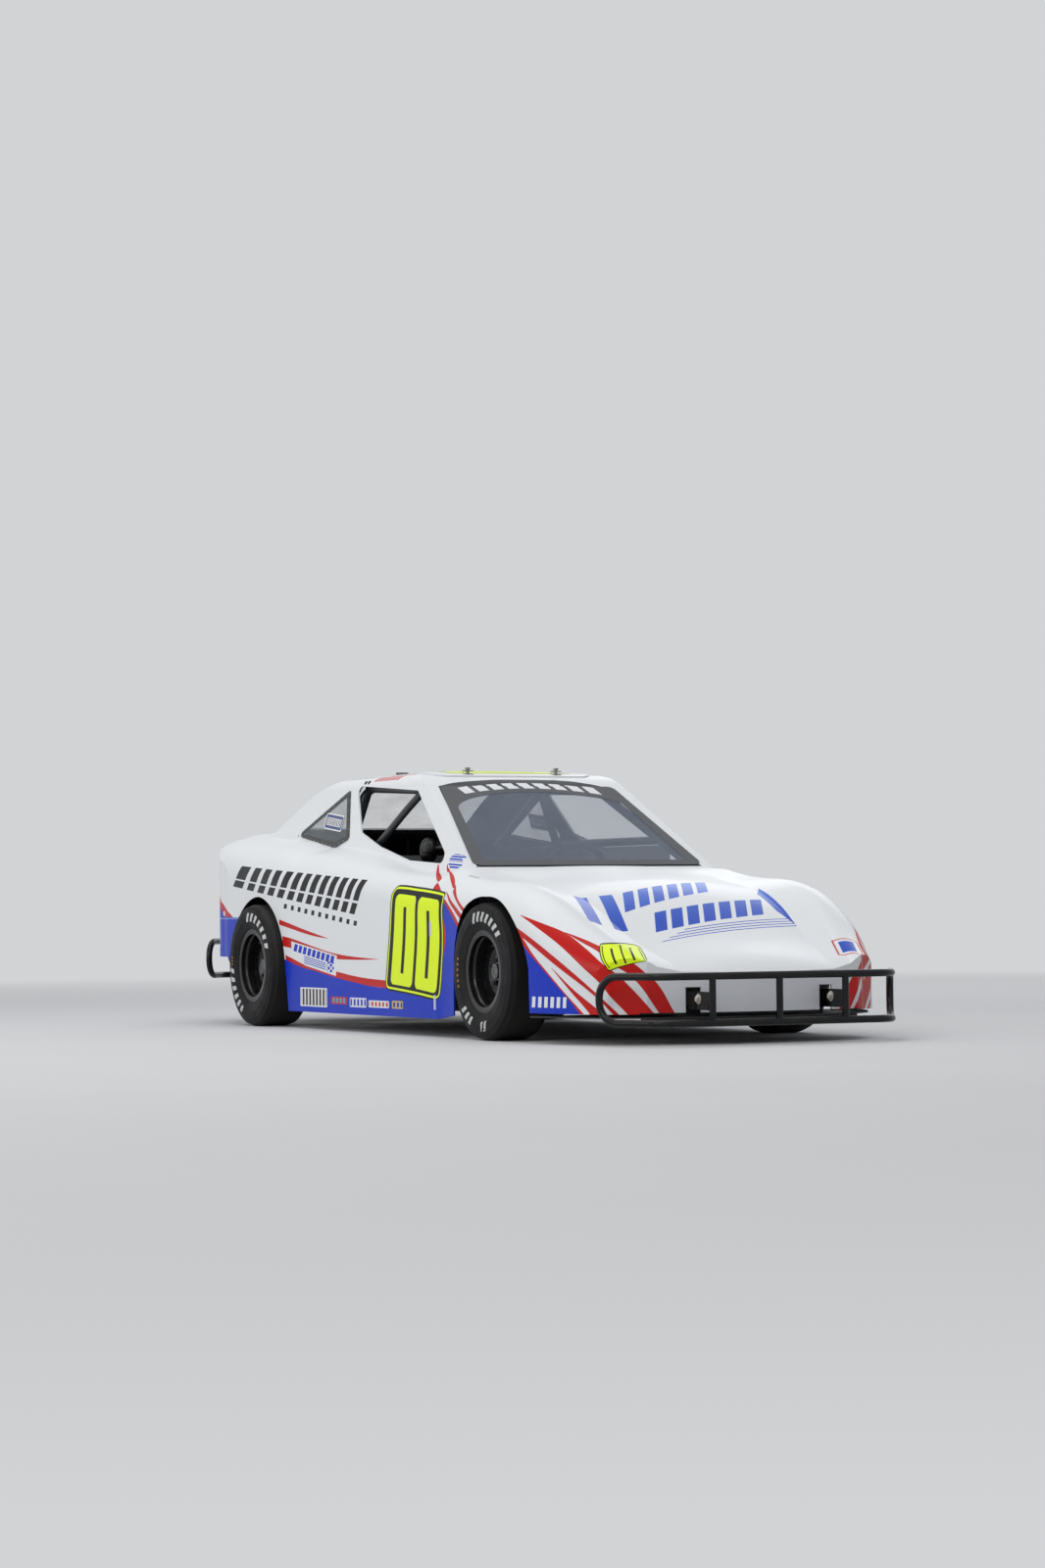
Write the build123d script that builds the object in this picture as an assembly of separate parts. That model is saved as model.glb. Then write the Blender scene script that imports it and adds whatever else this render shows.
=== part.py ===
from build123d import *
import os
from math import cos, radians, sin, sqrt, tan

# Miniature stock car: a tube-frame racer with a moulded body and a roof hatch for its driver.
# Millimetres. X points forward, Y to the car's left, Z up.
# The origin is on the floor, under the centre of the whole car.

# Layout
wheelbase = 2032.0
front_overhang = 970.0
rear_overhang = 796.0
overall_length = wheelbase + front_overhang + rear_overhang
front_axle_x = overall_length / 2 - front_overhang
rear_axle_x = front_axle_x - wheelbase
front_track = 1091.0
rear_track = 1177.0

# Wheels and tyres
tyre_radius = 237.0
tyre_width = 175.0
tread_width = 150.0
rim_radius = 127.0
flange_radius = 142.0
rim_wall = 4.0
tyre_seat_gap = 0.3
tyre_shoulder = 14.0
tyre_lip = 11.5
tyre_bead_inset = 20.0
hub_bolt_circle = 50.0
hub_radius = 38.0
lug_count = 5

# Body shell
body_wall = 6.0
body_half_width = 625.0
rocker_z = 65.0
nose_bottom_z = 102.0
tail_bottom_z = 267.0
nose_tip = 852.0
tail_end = 704.0
tail_corner = 250.0

# Greenhouse, in places along the car behind the front axle
cowl_back = 396.0
cowl_z = 600.0
shield_slope = 30.1
roof_front_back = 996.0
roof_top_back = 1456.0
roof_rear_back = 1896.0
fast_end_back = 2376.0
roof_height = 985.0
side_base_y = 516.0
side_base_z = 530.0
side_top_y = 396.0
side_top_z = 953.0
glass_thick = 3.0
glass_lap = 22.0
glass_seat = 0.2
shield_low_half = 464.0
shield_high_half = 358.0
shield_rise = 608.0

# Roof hatch
hatch_half_width = 330.0
hatch_front_back = 1012.0
hatch_length = 590.0
hatch_lap = 24.0
hatch_thick = 5.0
hatch_seat_gap = 0.6
hatch_corner = 60.0
hinge_pin_radius = 3.0
hinge_pin_play = 0.06
hinge_back = 9.0
hinge_y = 200.0
hinge_z = 977.0
latch_y = 184.0
latch_z = 966.5

# Bumper mounts
bracket_y = 250.0
slot_half = 26.0
slot_top_z = 190.0

# Frame tubes
rail_size = 38.0
rail_z = 112.0
side_rail_y = 520.0
cage_tube = 16.0
small_tube = 10.0
floor_thick = 2.0

bumper_tube = 12.5
frame_nose = 760.0
frame_tail = 560.0
cockpit_front = 340.0
cockpit_rear = 340.0
main_rail_y = 190.0
tower_y = 215.0
tower_half_x = 150.0
tower_z = 455.0
hoop_ahead = 466.0
hoop_top_y = 372.0
hoop_z = 922.0
door_bar_y = 503.0
halo_back = 1020.0
halo_y = 352.0
halo_z = 894.0
post_front_x = 300.0
post_rear_x = -420.0
jack_front_x = 700.0
jack_rear_x = -900.0
jack_pad_half = 32.0
jack_pad_thick = 3.0

# Suspension and axles
axle_radius = 20.0
sprocket_radius = 88.0
sprocket_y = 90.0
disc_radius = 95.0
disc_y = -110.0
bearing_y = 365.0
arm_pivot_z = 170.0
shock_top_z = 560.0
shock_x = rear_axle_x + 36.0
low_ball_z = 150.0
shock_foot_y = 335.0
shock_bar_z = 142.0
shock_eye = 13.0
seat_gap = 0.3
high_ball_z = 326.0
low_pivot_y = main_rail_y + rail_size / 2 + 15.3
low_pivot_z = 118.0
high_pivot_y = tower_y + small_tube + 3 + 15.3
high_pivot_z = 330.0
spindle_radius = 14.0
spindle_play = 0.05
hub_bore = 32.0

# Steering
kingpin_y = 420.0
steer_arm = 80.0
arm_z = 186.0
rack_z = 205.0
rack_bar = 10.0
rack_half = 210.0
column_y = 150.0
column_radius = 9.0
column_tube = 16.0
wheel_rim_x = front_axle_x - 850.0
wheel_rim_z = 555.0
wheel_rim_radius = 140.0

# Cockpit
seat_x = front_axle_x - 1330.0
seat_y = 150.0
engine_ahead = 270.0


def at(point):
    return Vector(*point)


def rod(start, end, radius):
    """A round bar from one point to another."""
    a = at(start)
    b = at(end)
    axis = Plane(origin=a, z_dir=b - a)
    return axis * Cylinder(radius, (b - a).length, align=(Align.CENTER, Align.CENTER, Align.MIN))


def bent_bar(points, radii, radius, closed=False):
    """A round bar bent to a route of straight runs and tangent arcs."""
    path = FilletPolyline(*points, radius=radii, close=closed)
    start = Plane(origin=path @ 0, z_dir=path % 0)
    return sweep(start * Circle(radius), path=path)


def block(x0, x1, y0, y1, z0, z1):
    """A box between two corners."""
    return Pos((x0 + x1) / 2, (y0 + y1) / 2, (z0 + z1) / 2) * Box(x1 - x0, y1 - y0, z1 - z0)


def side_plate(points, radius, y0, y1):
    """A plate cut to an outline in side view, between two distances across the car."""
    outline = FilletPolyline(*[(x, z) for x, z in points], radius=radius, close=True)
    face = Plane.XZ * make_face(outline)
    return Pos(0, y0, 0) * extrude(face, y1 - y0, dir=(0, 1, 0))


def mirrored(shape):
    return mirror(shape, about=Plane.XZ)


def behind_front(distance):
    return front_axle_x - distance


# Lower body

# Columns: x, half width, top of the flat side, crest y, crest z, valley y, valley z, centre z
front_sections = [
    (front_axle_x - cowl_back, 615.0, 460.0, 525.0, 590.0, 455.0, cowl_z - 6, cowl_z - 1),
    (front_axle_x - 166.0, 625.0, 455.0, 510.0, 560.0, 385.0, 554.0, 578.0),
    (front_axle_x + 34.0, 630.0, 440.0, 500.0, 547.0, 372.0, 528.0, 552.0),
    (front_axle_x + 234.0, 625.0, 410.0, 485.0, 519.0, 360.0, 488.0, 508.0),
    (front_axle_x + 434.0, 606.0, 330.0, 450.0, 436.0, 345.0, 405.0, 421.0),
    (front_axle_x + 604.0, 554.0, 255.0, 410.0, 345.0, 325.0, 325.0, 342.0),
    (front_axle_x + nose_tip + 28.0, 500.0, 150.0, 350.0, 200.0, 280.0, 196.0, 210.0),
]
middle_sections = [
    (front_axle_x - cowl_back, 615.0, 460.0, 525.0, 590.0, 455.0, cowl_z - 6, cowl_z - 1),
    (front_axle_x - 1016.0, 622.0, 505.0, 545.0, 612.0, 484.0, 636.0, 642.0),
    (rear_axle_x + 666.0, 625.0, 530.0, 545.0, 652.0, 468.0, 686.0, 692.0),
    (rear_axle_x + 316.0, 628.0, 550.0, 540.0, 670.0, 462.0, 690.0, 697.0),
]
rear_sections = [
    (rear_axle_x + 316.0, 628.0, 550.0, 540.0, 670.0, 462.0, 690.0, 697.0),
    (rear_axle_x - 34.0, 628.0, 575.0, 530.0, 708.0, 448.0, 735.0, 748.0),
    (rear_axle_x - 384.0, 615.0, 600.0, 515.0, 735.0, 430.0, 758.0, 775.0),
    (rear_axle_x - 624.0, 602.0, 600.0, 500.0, 728.0, 420.0, 750.0, 768.0),
    (rear_axle_x - tail_end - 40.0, 592.0, 560.0, 490.0, 684.0, 410.0, 704.0, 720.0),
]


def body_face(row, inset):
    """One cross-section of the lower body, set in by a wall."""
    x, half_width, side_z, crest_y, crest_z, valley_y, valley_z, centre_z = row
    bottom_z = rocker_z - 20.0 - 3 * inset
    bottom = (half_width - inset, bottom_z)
    side = (half_width - inset, side_z)
    crest = (crest_y - inset / 2, crest_z - inset)
    valley = (valley_y - inset / 2, valley_z - inset)
    edges = []
    for hand in (1, -1):
        low = (hand * bottom[0], bottom[1])
        top = (hand * side[0], side[1])
        peak = (hand * crest[0], crest[1])
        dip = (hand * valley[0], valley[1])
        edges.append(Line(low, top))
        edges.append(TangentArc(top, peak, tangent=(0, 1)))
        edges.append(Line(peak, dip))
    edges.append(ThreePointArc((valley[0], valley[1]), (0, centre_z - inset), (-valley[0], valley[1])))
    edges.append(Line((bottom[0], bottom_z), (-bottom[0], bottom_z)))
    outline = Wire(edges)
    return Plane(origin=(x, 0, 0), x_dir=(0, 1, 0), z_dir=(1, 0, 0)) * make_face(outline)


def plan_face(inset):
    """The lower body's outline seen from above, with its bowed nose and rounded tail."""
    half = body_half_width + 20.0 - inset
    nose = front_axle_x + nose_tip - inset
    tail = rear_axle_x - tail_end + inset
    tail_side = 604.0 - inset
    corner = tail_corner - inset
    cut = corner * (1 - sqrt(0.5))
    edges = []
    for hand in (1, -1):
        start = (front_axle_x + 284.0, hand * half)
        shoulder = (front_axle_x + 704.0 - inset * 0.6, hand * (500.0 - inset * 0.8))
        cheek = (front_axle_x + 786.0 - inset * 0.9, hand * (400.0 - inset * 0.5))
        edges.append(TangentArc(start, shoulder, tangent=(1, 0)))
        edges.append(Line(shoulder, cheek))
        edges.append(Line(start, (rear_axle_x - 200.0, hand * half)))
        edges.append(Line((rear_axle_x - 200.0, hand * half), (tail + corner, hand * tail_side)))
        middle = (tail + cut, hand * (tail_side - cut))
        tail_point = (tail, hand * (tail_side - corner))
        edges.append(ThreePointArc((tail + corner, hand * tail_side), middle, tail_point))
    edges.append(ThreePointArc((cheek[0], 400.0 - inset * 0.5), (nose, 0), (cheek[0], inset * 0.5 - 400.0)))
    edges.append(Line((tail, tail_side - corner), (tail, corner - tail_side)))
    return make_face(Wire(edges))


def lower_body(inset):
    """The closed lower body: three lofts joined, cut to the plan outline."""
    whole = None
    for table in (front_sections, middle_sections, rear_sections):
        piece = loft([body_face(row, inset) for row in table])
        whole = piece if whole is None else whole + piece
    plan = Pos(0, 0, -100) * extrude(plan_face(inset), 1200)
    return whole & plan


# Greenhouse


def shield_point(drop):
    """A point on the windshield's line, by its height above the cowl."""
    return (behind_front(cowl_back) - drop / tan(radians(shield_slope)), cowl_z + drop)


def greenhouse(inset):
    """The closed roof, pillars and glass: a side profile met by a front profile."""
    low_x, low_z = shield_point(-50.0)
    roof_front_z = cowl_z + (roof_front_back - cowl_back) * tan(radians(shield_slope))
    profile = [
        (low_x, low_z),
        (behind_front(roof_front_back), roof_front_z),
        (behind_front(roof_top_back), roof_height),
        (behind_front(roof_rear_back), roof_height - 35.0),
        (behind_front(fast_end_back), 735.0),
        (behind_front(fast_end_back) - 90.0, 695.0),
        (behind_front(fast_end_back) - 90.0, low_z),
    ]
    outline = FilletPolyline(*profile, radius=[0, 300, 2400, 1300, 0, 0, 0], close=True)
    side = make_face(outline)
    if inset:
        side = offset(side, -inset, kind=Kind.INTERSECTION)
        side = side + Pos(0, -60) * side
    side = extrude(Plane.XZ * side, 700, both=True)
    front = FilletPolyline(
        (-side_base_y, side_base_z),
        (-side_top_y, side_top_z),
        (0, roof_height - 2),
        (side_top_y, side_top_z),
        (side_base_y, side_base_z),
        radius=[0, 50, 4000, 50, 0],
        close=True,
    )
    front = make_face(front)
    if inset:
        front = offset(front, -inset, kind=Kind.INTERSECTION)
        front = front + Pos(0, -60) * front
    across = Plane(origin=(0, 0, 0), x_dir=(0, 1, 0), z_dir=(1, 0, 0)) * front
    return side & extrude(across, overall_length, both=True)


def high_prism(outline, z0, z1):
    """A prism straight up from an outline seen from above."""
    return Pos(0, 0, z0) * extrude(make_face(outline), z1 - z0)


def across_prism(edges, y0, y1):
    """A prism across the car from an outline seen from the side."""
    face = Plane.XZ * make_face(Wire(edges))
    return Pos(0, y0, 0) * extrude(face, y1 - y0, dir=(0, 1, 0))


def shield_plane(lift=0.0):
    """The windshield's plane: its first axis points left, its second one up the slope."""
    slope = radians(shield_slope)
    foot_x, foot_z = shield_point(0)
    return Plane(origin=(foot_x, 0, foot_z), x_dir=(0, 1, 0), z_dir=(sin(slope), 0, cos(slope))).offset(lift)


def shield_outline(inset, radius):
    low_half = shield_low_half - inset
    high_half = shield_high_half - inset
    foot = 8 + inset
    head = shield_rise - inset
    points = [(-low_half, foot), (low_half, foot), (high_half, head), (-high_half, head)]
    return make_face(FilletPolyline(*points, radius=radius, close=True))


def windshield():
    face = shield_plane(glass_seat) * shield_outline(0, 30)
    return extrude(face, glass_thick)


def windshield_opening():
    face = shield_plane(-40) * shield_outline(glass_lap, 24)
    return extrude(face, 80)


# Side outlines, in x and z
side_window = [
    (front_axle_x - 541.0, 612.0),
    (front_axle_x - 916.0, 632.0),
    (rear_axle_x + 816.0, 688.0),
    (rear_axle_x + 606.0, 745.0),
    (rear_axle_x + 451.0, 928.0),
    (front_axle_x - 990.0, 892.0),
]
quarter_window = [
    (rear_axle_x - 2.0, 747.0),
    (rear_axle_x + 388.0, 895.0),
    (rear_axle_x + 484.0, 728.0),
    (rear_axle_x + 372.0, 706.0),
]
front_seam = [(front_axle_x - 176.0, 0.0), (front_axle_x - 176.0, 455.0), (front_axle_x - 512.0, cowl_z)]
rear_seam = [
    (rear_axle_x + 66.0, 0.0),
    (rear_axle_x + 66.0, 450.0),
    (rear_axle_x + 356.0, 640.0),
    (rear_axle_x + 546.0, 705.0),
    (rear_axle_x + 421.0, 940.0),
    (rear_axle_x + 416.0, 1100.0),
]
roof_seam = [
    (front_axle_x - cowl_back + 1.0, cowl_z),
    (front_axle_x - 512.0, cowl_z),
    (rear_axle_x + 606.0, 745.0),
    (rear_axle_x + 546.0, 705.0),
    (rear_axle_x + 421.0, 940.0),
    (rear_axle_x + 416.0, 1100.0),
    (front_axle_x - cowl_back + 1.0, 1100.0),
]


def side_cut(points, radius, y0, y1):
    """A cut on both sides of the car between two distances from its middle."""
    one = side_plate(points, radius, y0, y1)
    return one + mirrored(one)


def grown(points, amount):
    """An outline moved out from its own centre by an amount."""
    centre_x = sum(x for x, z in points) / len(points)
    centre_z = sum(z for x, z in points) / len(points)
    moved = []
    for x, z in points:
        reach = sqrt((x - centre_x) ** 2 + (z - centre_z) ** 2)
        moved.append((x + (x - centre_x) * amount / reach, z + (z - centre_z) * amount / reach))
    return moved


def arch_edges(axle_x, foot_a, spring_a, knee_a, top, knee_b, spring_b, foot_b):
    """A wheel arch in side view, from points measured from its axle and the floor."""
    spots = [(axle_x + x, z) for x, z in (foot_a, spring_a, knee_a, top, knee_b, spring_b, foot_b)]
    return [
        Line(spots[0], spots[1]),
        ThreePointArc(spots[1], spots[2], spots[3]),
        ThreePointArc(spots[3], spots[4], spots[5]),
        Line(spots[5], spots[6]),
        Line(spots[6], spots[0]),
    ]


def wheel_arches():
    front = arch_edges(
        front_axle_x, (-252, -10), (-244, 250), (-168, 430), (15, 494), (243, 418), (349, 250), (357, -10)
    )
    rear = arch_edges(
        rear_axle_x, (303, -10), (256, 250), (150, 442), (-26, 506), (-240, 432), (-380, 210), (-390, -10)
    )
    one = across_prism(front, 380, 760) + across_prism(rear, 380, 760)
    return one + mirrored(one)


def under_cut():
    """All that lies below the body's lower edge, from the nose over the rockers to the tail."""
    low = -200.0
    points = [
        (overall_length, nose_bottom_z),
        (front_axle_x + 300.0, nose_bottom_z),
        (front_axle_x - 180.0, nose_bottom_z - 15),
        (front_axle_x - 389.0, rocker_z),
        (rear_axle_x - 200.0, rocker_z),
        (rear_axle_x - 389.0, tail_bottom_z),
        (-overall_length, tail_bottom_z),
        (-overall_length, low),
        (overall_length, low),
    ]
    return side_plate(points, 0, -900, 900)


def hatch_outline(inset):
    front_x = behind_front(hatch_front_back) - inset
    rear_x = behind_front(hatch_front_back + hatch_length) + inset
    half = hatch_half_width - inset
    points = [(front_x, -half), (front_x, half), (rear_x, half), (rear_x, -half)]
    return FilletPolyline(*points, radius=hatch_corner, close=True)


def roof_hatch(roof):
    """The hatch's moulded panel, which lies on the roof and laps over its opening."""
    low = Pos(0, 0, hatch_seat_gap) * roof
    high = Pos(0, 0, hatch_seat_gap + hatch_thick) * roof
    return (high - low) & high_prism(hatch_outline(0), 860, 1040)


def rear_window_outline(inset):
    top_x = rear_axle_x + 300.0 - inset
    low_x = rear_axle_x - 262.0 + inset
    points = [(top_x, -345 + inset), (top_x, 345 - inset), (low_x, 385 - inset), (low_x, inset - 385)]
    return FilletPolyline(*points, radius=40, close=True)


def rear_window(roof):
    lean = radians(20)
    seat = Pos(-glass_seat * sin(lean), 0, glass_seat * cos(lean)) * roof
    face = glass_seat + glass_thick
    skin = Pos(-face * sin(lean), 0, face * cos(lean)) * roof
    return (skin - seat) & high_prism(rear_window_outline(0), 700, 980)


def quarter_pane(roof):
    """The right clear pane of the quarter window, on the outside of the pillar."""
    seat = Pos(0, -glass_seat, 0) * roof
    skin = Pos(0, -glass_seat - glass_thick, 0) * roof
    pane = (skin - seat) & side_plate(grown(quarter_window, glass_lap), 12, -600, -300)
    return pane - lower_body(0)


def nose_slots():
    cuts = None
    for hand in (1, -1):
        slot = block(
            front_axle_x + 700, front_axle_x + 900,
            hand * bracket_y - slot_half, hand * bracket_y + slot_half,
            nose_bottom_z - 20, slot_top_z,
        )
        cuts = slot if cuts is None else cuts + slot
    return cuts


def body_panels():
    """The moulded body: its shell, cut open, then split where its panels meet."""
    roof = greenhouse(0)
    outer = lower_body(0) + roof
    inner = lower_body(body_wall) + greenhouse(body_wall)
    shell = outer - inner - under_cut() - wheel_arches() - windshield_opening()
    shell = shell - side_cut(side_window, 24, 300, 760) - side_cut(quarter_window, 12, 300, 760)
    shell = shell - high_prism(hatch_outline(hatch_lap), 850, 1040)
    shell = shell - high_prism(rear_window_outline(glass_lap), 700, 980)
    shell = shell - nose_slots()
    roof_zone = side_plate(roof_seam, 0, -900, 900)
    foot_x = behind_front(cowl_back) + 1
    hood_zone = [(foot_x, cowl_z), (foot_x, 700), (overall_length, 700), (overall_length, 0)]
    front_zone = side_plate(front_seam + hood_zone, 0, -900, 900)
    rear_zone = side_plate(rear_seam + [(-overall_length, 1100), (-overall_length, 0)], 0, -900, 900)
    sides = shell - front_zone - roof_zone - rear_zone
    right_pane = quarter_pane(roof)
    return {
        "nose_clip": shell & front_zone,
        "roof_shell": shell & roof_zone,
        "rear_clip": shell & rear_zone,
        "side_panel_left": sides & block(-overall_length, overall_length, 0, 900, 0, 1100),
        "side_panel_right": sides & block(-overall_length, overall_length, -900, 0, 0, 1100),
        "windshield": windshield(),
        "rear_window": rear_window(roof),
        "quarter_windows": right_pane + mirrored(right_pane),
        "roof_hatch": roof_hatch(roof),
    }


# Wheels and tyres


def turned(points_edges, x, y, z):
    """A solid turned about an axle across the car, from a half-section in y and radius."""
    face = Plane.YZ * make_face(points_edges)
    return Pos(x, y, z) * revolve(face, Axis.Y)


def tyre(x, y):
    """A slick tyre: a closed ring that sits on its rim."""
    half = tyre_width / 2
    tread = tread_width / 2
    bead = flange_radius + tyre_seat_gap
    seat_radius = rim_radius + tyre_seat_gap
    bead_y = half - tyre_bead_inset
    outer = [
        (tread - tyre_shoulder, tyre_radius),
        (tread + tyre_shoulder / 3, tyre_radius - tyre_shoulder / 2),
        (half - 2, tyre_radius - tyre_shoulder * 2),
        (half, tyre_radius - tyre_shoulder * 4),
        (half - 8, bead + 8),
        (half - tyre_lip, bead),
        (bead_y, bead),
        (bead_y, seat_radius),
    ]
    return turned(Polyline(*outer, *[(-y0, r) for y0, r in reversed(outer)], close=True), x, y, tyre_radius)


def rim(x, y, hand):
    """A deep steel wheel: a barrel with rolled flanges and a dished centre plate."""
    half = tyre_width / 2 - 19.5
    wall = rim_wall
    out = flange_radius
    barrel = Wire([
        Line((-half, rim_radius), (half, rim_radius)),
        Line((half, rim_radius), (half + 1, out)),
        Line((half + 1, out), (half + 7, out)),
        Line((half + 7, out), (half + 7, out - wall)),
        Line((half + 7, out - wall), (half + wall + 1, rim_radius - wall)),
        Line((half + wall + 1, rim_radius - wall), (-half - wall - 1, rim_radius - wall)),
        Line((-half - wall - 1, rim_radius - wall), (-half - 7, out - wall)),
        Line((-half - 7, out - wall), (-half - 7, out)),
        Line((-half - 7, out), (-half - 1, out)),
        Line((-half - 1, out), (-half, rim_radius)),
    ])
    plate = Wire([
        Line((0, hub_bore), (0, hub_bolt_circle + 16)),
        Line((0, hub_bolt_circle + 16), (14, hub_bolt_circle + 34)),
        Line((14, hub_bolt_circle + 34), (8, rim_radius - wall + 1)),
        Line((8, rim_radius - wall + 1), (3, rim_radius - wall + 1)),
        Line((3, rim_radius - wall + 1), (9, hub_bolt_circle + 34)),
        Line((9, hub_bolt_circle + 34), (-4, hub_bolt_circle + 14)),
        Line((-4, hub_bolt_circle + 14), (-4, hub_bore)),
        Line((-4, hub_bore), (0, hub_bore)),
    ])
    wheel = turned(barrel, 0, 0, 0) + turned(plate, 0, 0, 0)
    holes = [
        Pos(hub_bolt_circle * sin(a), 0, hub_bolt_circle * cos(a)) * Rot(90, 0, 0) * Cylinder(7, 40)
        for a in lug_angles()
    ]
    wheel = wheel - holes
    if hand < 0:
        wheel = mirrored(wheel)
    return Pos(x, y, tyre_radius) * wheel


def lug_angles():
    return [radians(360 * i / lug_count) for i in range(lug_count)]


def hub(x, y, hand, bore):
    """A hub with its flange, studs, nuts and grease cap; the bore is for the spindle."""
    flange = Pos(0, -9, 0) * Rot(90, 0, 0) * Cylinder(hub_bolt_circle + 14, 10)
    barrel = Pos(0, -32, 0) * Rot(90, 0, 0) * Cylinder(hub_radius, 40)
    spigot = Pos(0, 5, 0) * Rot(90, 0, 0) * Cylinder(hub_bore - 0.3, 30)
    cap = Pos(0, 24, 0) * Rot(90, 0, 0) * Cylinder(hub_bore - 6, 16)
    body = flange + barrel + spigot + cap
    for a in lug_angles():
        spot = Pos(hub_bolt_circle * sin(a), 0, hub_bolt_circle * cos(a)) * Rot(90, 0, 0)
        stud = Pos(0, 7, 0) * spot * Cylinder(5.5, 34)
        nut = Pos(0, 8.2, 0) * spot * extrude(RegularPolygon(10, 6), 8, both=True)
        body = body + stud + nut
    if bore:
        body = body - Pos(0, -26, 0) * Rot(90, 0, 0) * Cylinder(bore, 60)
    if hand < 0:
        body = mirrored(body)
    return Pos(x, y, tyre_radius) * body


def wheels():
    """All wheel pieces, named by their corner of the car."""
    parts = {}
    for end, x, track in (("front", front_axle_x, front_track), ("rear", rear_axle_x, rear_track)):
        for side, hand in (("left", 1), ("right", -1)):
            y = hand * track / 2
            parts[f"tyre_{end}_{side}"] = tyre(x, y)
            parts[f"wheel_{end}_{side}"] = rim(x, y, hand)
            if end == "front":
                parts[f"hub_{end}_{side}"] = hub(x, y, hand, spindle_radius + spindle_play)
    return parts


def rear_axle():
    """The live rear axle with its hubs, chain sprocket and brake disc."""
    z = tyre_radius
    half = rear_track / 2
    shaft = rod((rear_axle_x, -half + 20, z), (rear_axle_x, half - 20, z), axle_radius)
    axle = shaft + hub(rear_axle_x, half, 1, 0) + hub(rear_axle_x, -half, -1, 0)
    plate = Rot(90, 0, 0) * Cylinder(sprocket_radius, 6)
    teeth = [
        Rot(0, a, 0) * Pos(sprocket_radius, 0, 0) * Box(14, 6, 7) for a in range(0, 360, 12)
    ]
    sprocket = plate + teeth
    carrier = Rot(90, 0, 0) * Cylinder(42, 34)
    axle = axle + Pos(rear_axle_x, sprocket_y, z) * (sprocket + carrier)
    disc = Rot(90, 0, 0) * (Cylinder(disc_radius, 8) - Cylinder(disc_radius - 38, 8))
    spider = Rot(90, 0, 0) * Cylinder(disc_radius - 37, 5)
    return axle + Pos(rear_axle_x, disc_y, z) * (disc + spider + carrier)


# Front suspension and steering


def knuckle(hand):
    """An upright with its ball pins, spindle and steering arm."""
    x = front_axle_x
    z = tyre_radius
    y = kingpin_y
    outer = front_track / 2 - 14
    post = rod((x, y, low_ball_z + 12), (x, y, high_ball_z - 12), 17)
    boss = rod((x, y, z), (x, y + 34, z), 26)
    spindle = rod((x, y + 30, z), (x, outer, z), spindle_radius)
    arm = block(x - steer_arm - 13, x, y - 12, y + 12, arm_z - 7, arm_z + 7)
    eye = rod((x - steer_arm, y, arm_z - 7), (x - steer_arm, y, arm_z + 7), 14)
    bolt = rod((x - steer_arm, y, arm_z - 6), (x - steer_arm, y, arm_z + 22), 5)
    low_pin = rod((x, y, low_ball_z - 8), (x, y, low_ball_z + 14), 8)
    high_pin = rod((x, y, high_ball_z - 14), (x, y, high_ball_z + 8), 8)
    whole = post + boss + spindle + arm + eye + bolt + low_pin + high_pin
    return whole if hand > 0 else mirrored(whole)


def front_arms(hand):
    """The lower and upper wishbones of one side, with their ball cups and pivot tubes."""
    x = front_axle_x
    cup_play = 0.4
    whole = None
    rows = (
        (low_ball_z, low_pivot_y, low_pivot_z, 108.0, 12.0),
        (high_ball_z, high_pivot_y, high_pivot_z, 95.0, 10.0),
    )
    for ball_z, pivot_y, pivot_z, spread, radius in rows:
        cup = rod((x, kingpin_y, ball_z - 12), (x, kingpin_y, ball_z + 11.5), 19)
        if ball_z > tyre_radius:
            cup = rod((x, kingpin_y, ball_z - 11.5), (x, kingpin_y, ball_z + 12), 19)
        legs = cup
        for end in (1, -1):
            foot = (x + end * spread, pivot_y, pivot_z)
            legs = legs + rod(foot, (x + end * 8, kingpin_y - 12, ball_z), radius)
            near = (x + end * (spread - 22), pivot_y, pivot_z)
            legs = legs + rod(near, (x + end * (spread + 22), pivot_y, pivot_z), 15)
        if ball_z < tyre_radius:
            legs = legs + rod((x - 48, shock_foot_y, shock_bar_z), (x + 48, shock_foot_y, shock_bar_z), 9)
        pin_bore = rod((x, kingpin_y, ball_z - 40), (x, kingpin_y, ball_z + 40), 8 + cup_play)
        legs = legs - pin_bore
        whole = legs if whole is None else whole + legs
    return whole if hand > 0 else mirrored(whole)


def coilover(foot, head):
    """A damper with its spring and its two eyes."""
    a = at(foot)
    b = at(head)
    length = (b - a).length
    body = Cylinder(15, length * 0.55, align=(Align.CENTER, Align.CENTER, Align.MIN))
    shaft = Cylinder(7, length, align=(Align.CENTER, Align.CENTER, Align.MIN))
    low_seat = Pos(0, 0, length * 0.16) * Cylinder(31, 6)
    high_seat = Pos(0, 0, length * 0.86) * Cylinder(31, 6)
    body = body + shaft + low_seat + high_seat
    for z in (0, length):
        body = body + Pos(0, 0, z) * Rot(0, 90, 0) * Cylinder(shock_eye, 24)
    turns = 5
    rise = length * 0.70
    for i in range(turns):
        ring = Cylinder(30, 9) - Cylinder(21, 9) + Box(50, 6, 6)
        body = body + Pos(0, 0, length * 0.16 + rise * (i + 0.5) / turns) * ring
    return Plane(origin=a, x_dir=(1, 0, 0), z_dir=b - a) * body


def front_coilover(hand):
    foot = (front_axle_x, hand * shock_foot_y, shock_bar_z + 9 + shock_eye + seat_gap)
    head = (front_axle_x, hand * (tower_y + small_tube + 3 + shock_eye + seat_gap), tower_z)
    return coilover(foot, head)


def rear_coilover(hand):
    foot = (shock_x, hand * bearing_y, tyre_radius + 74 + shock_eye + seat_gap)
    head = (shock_x, hand * 325, shock_top_z)
    return coilover(foot, head)


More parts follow.
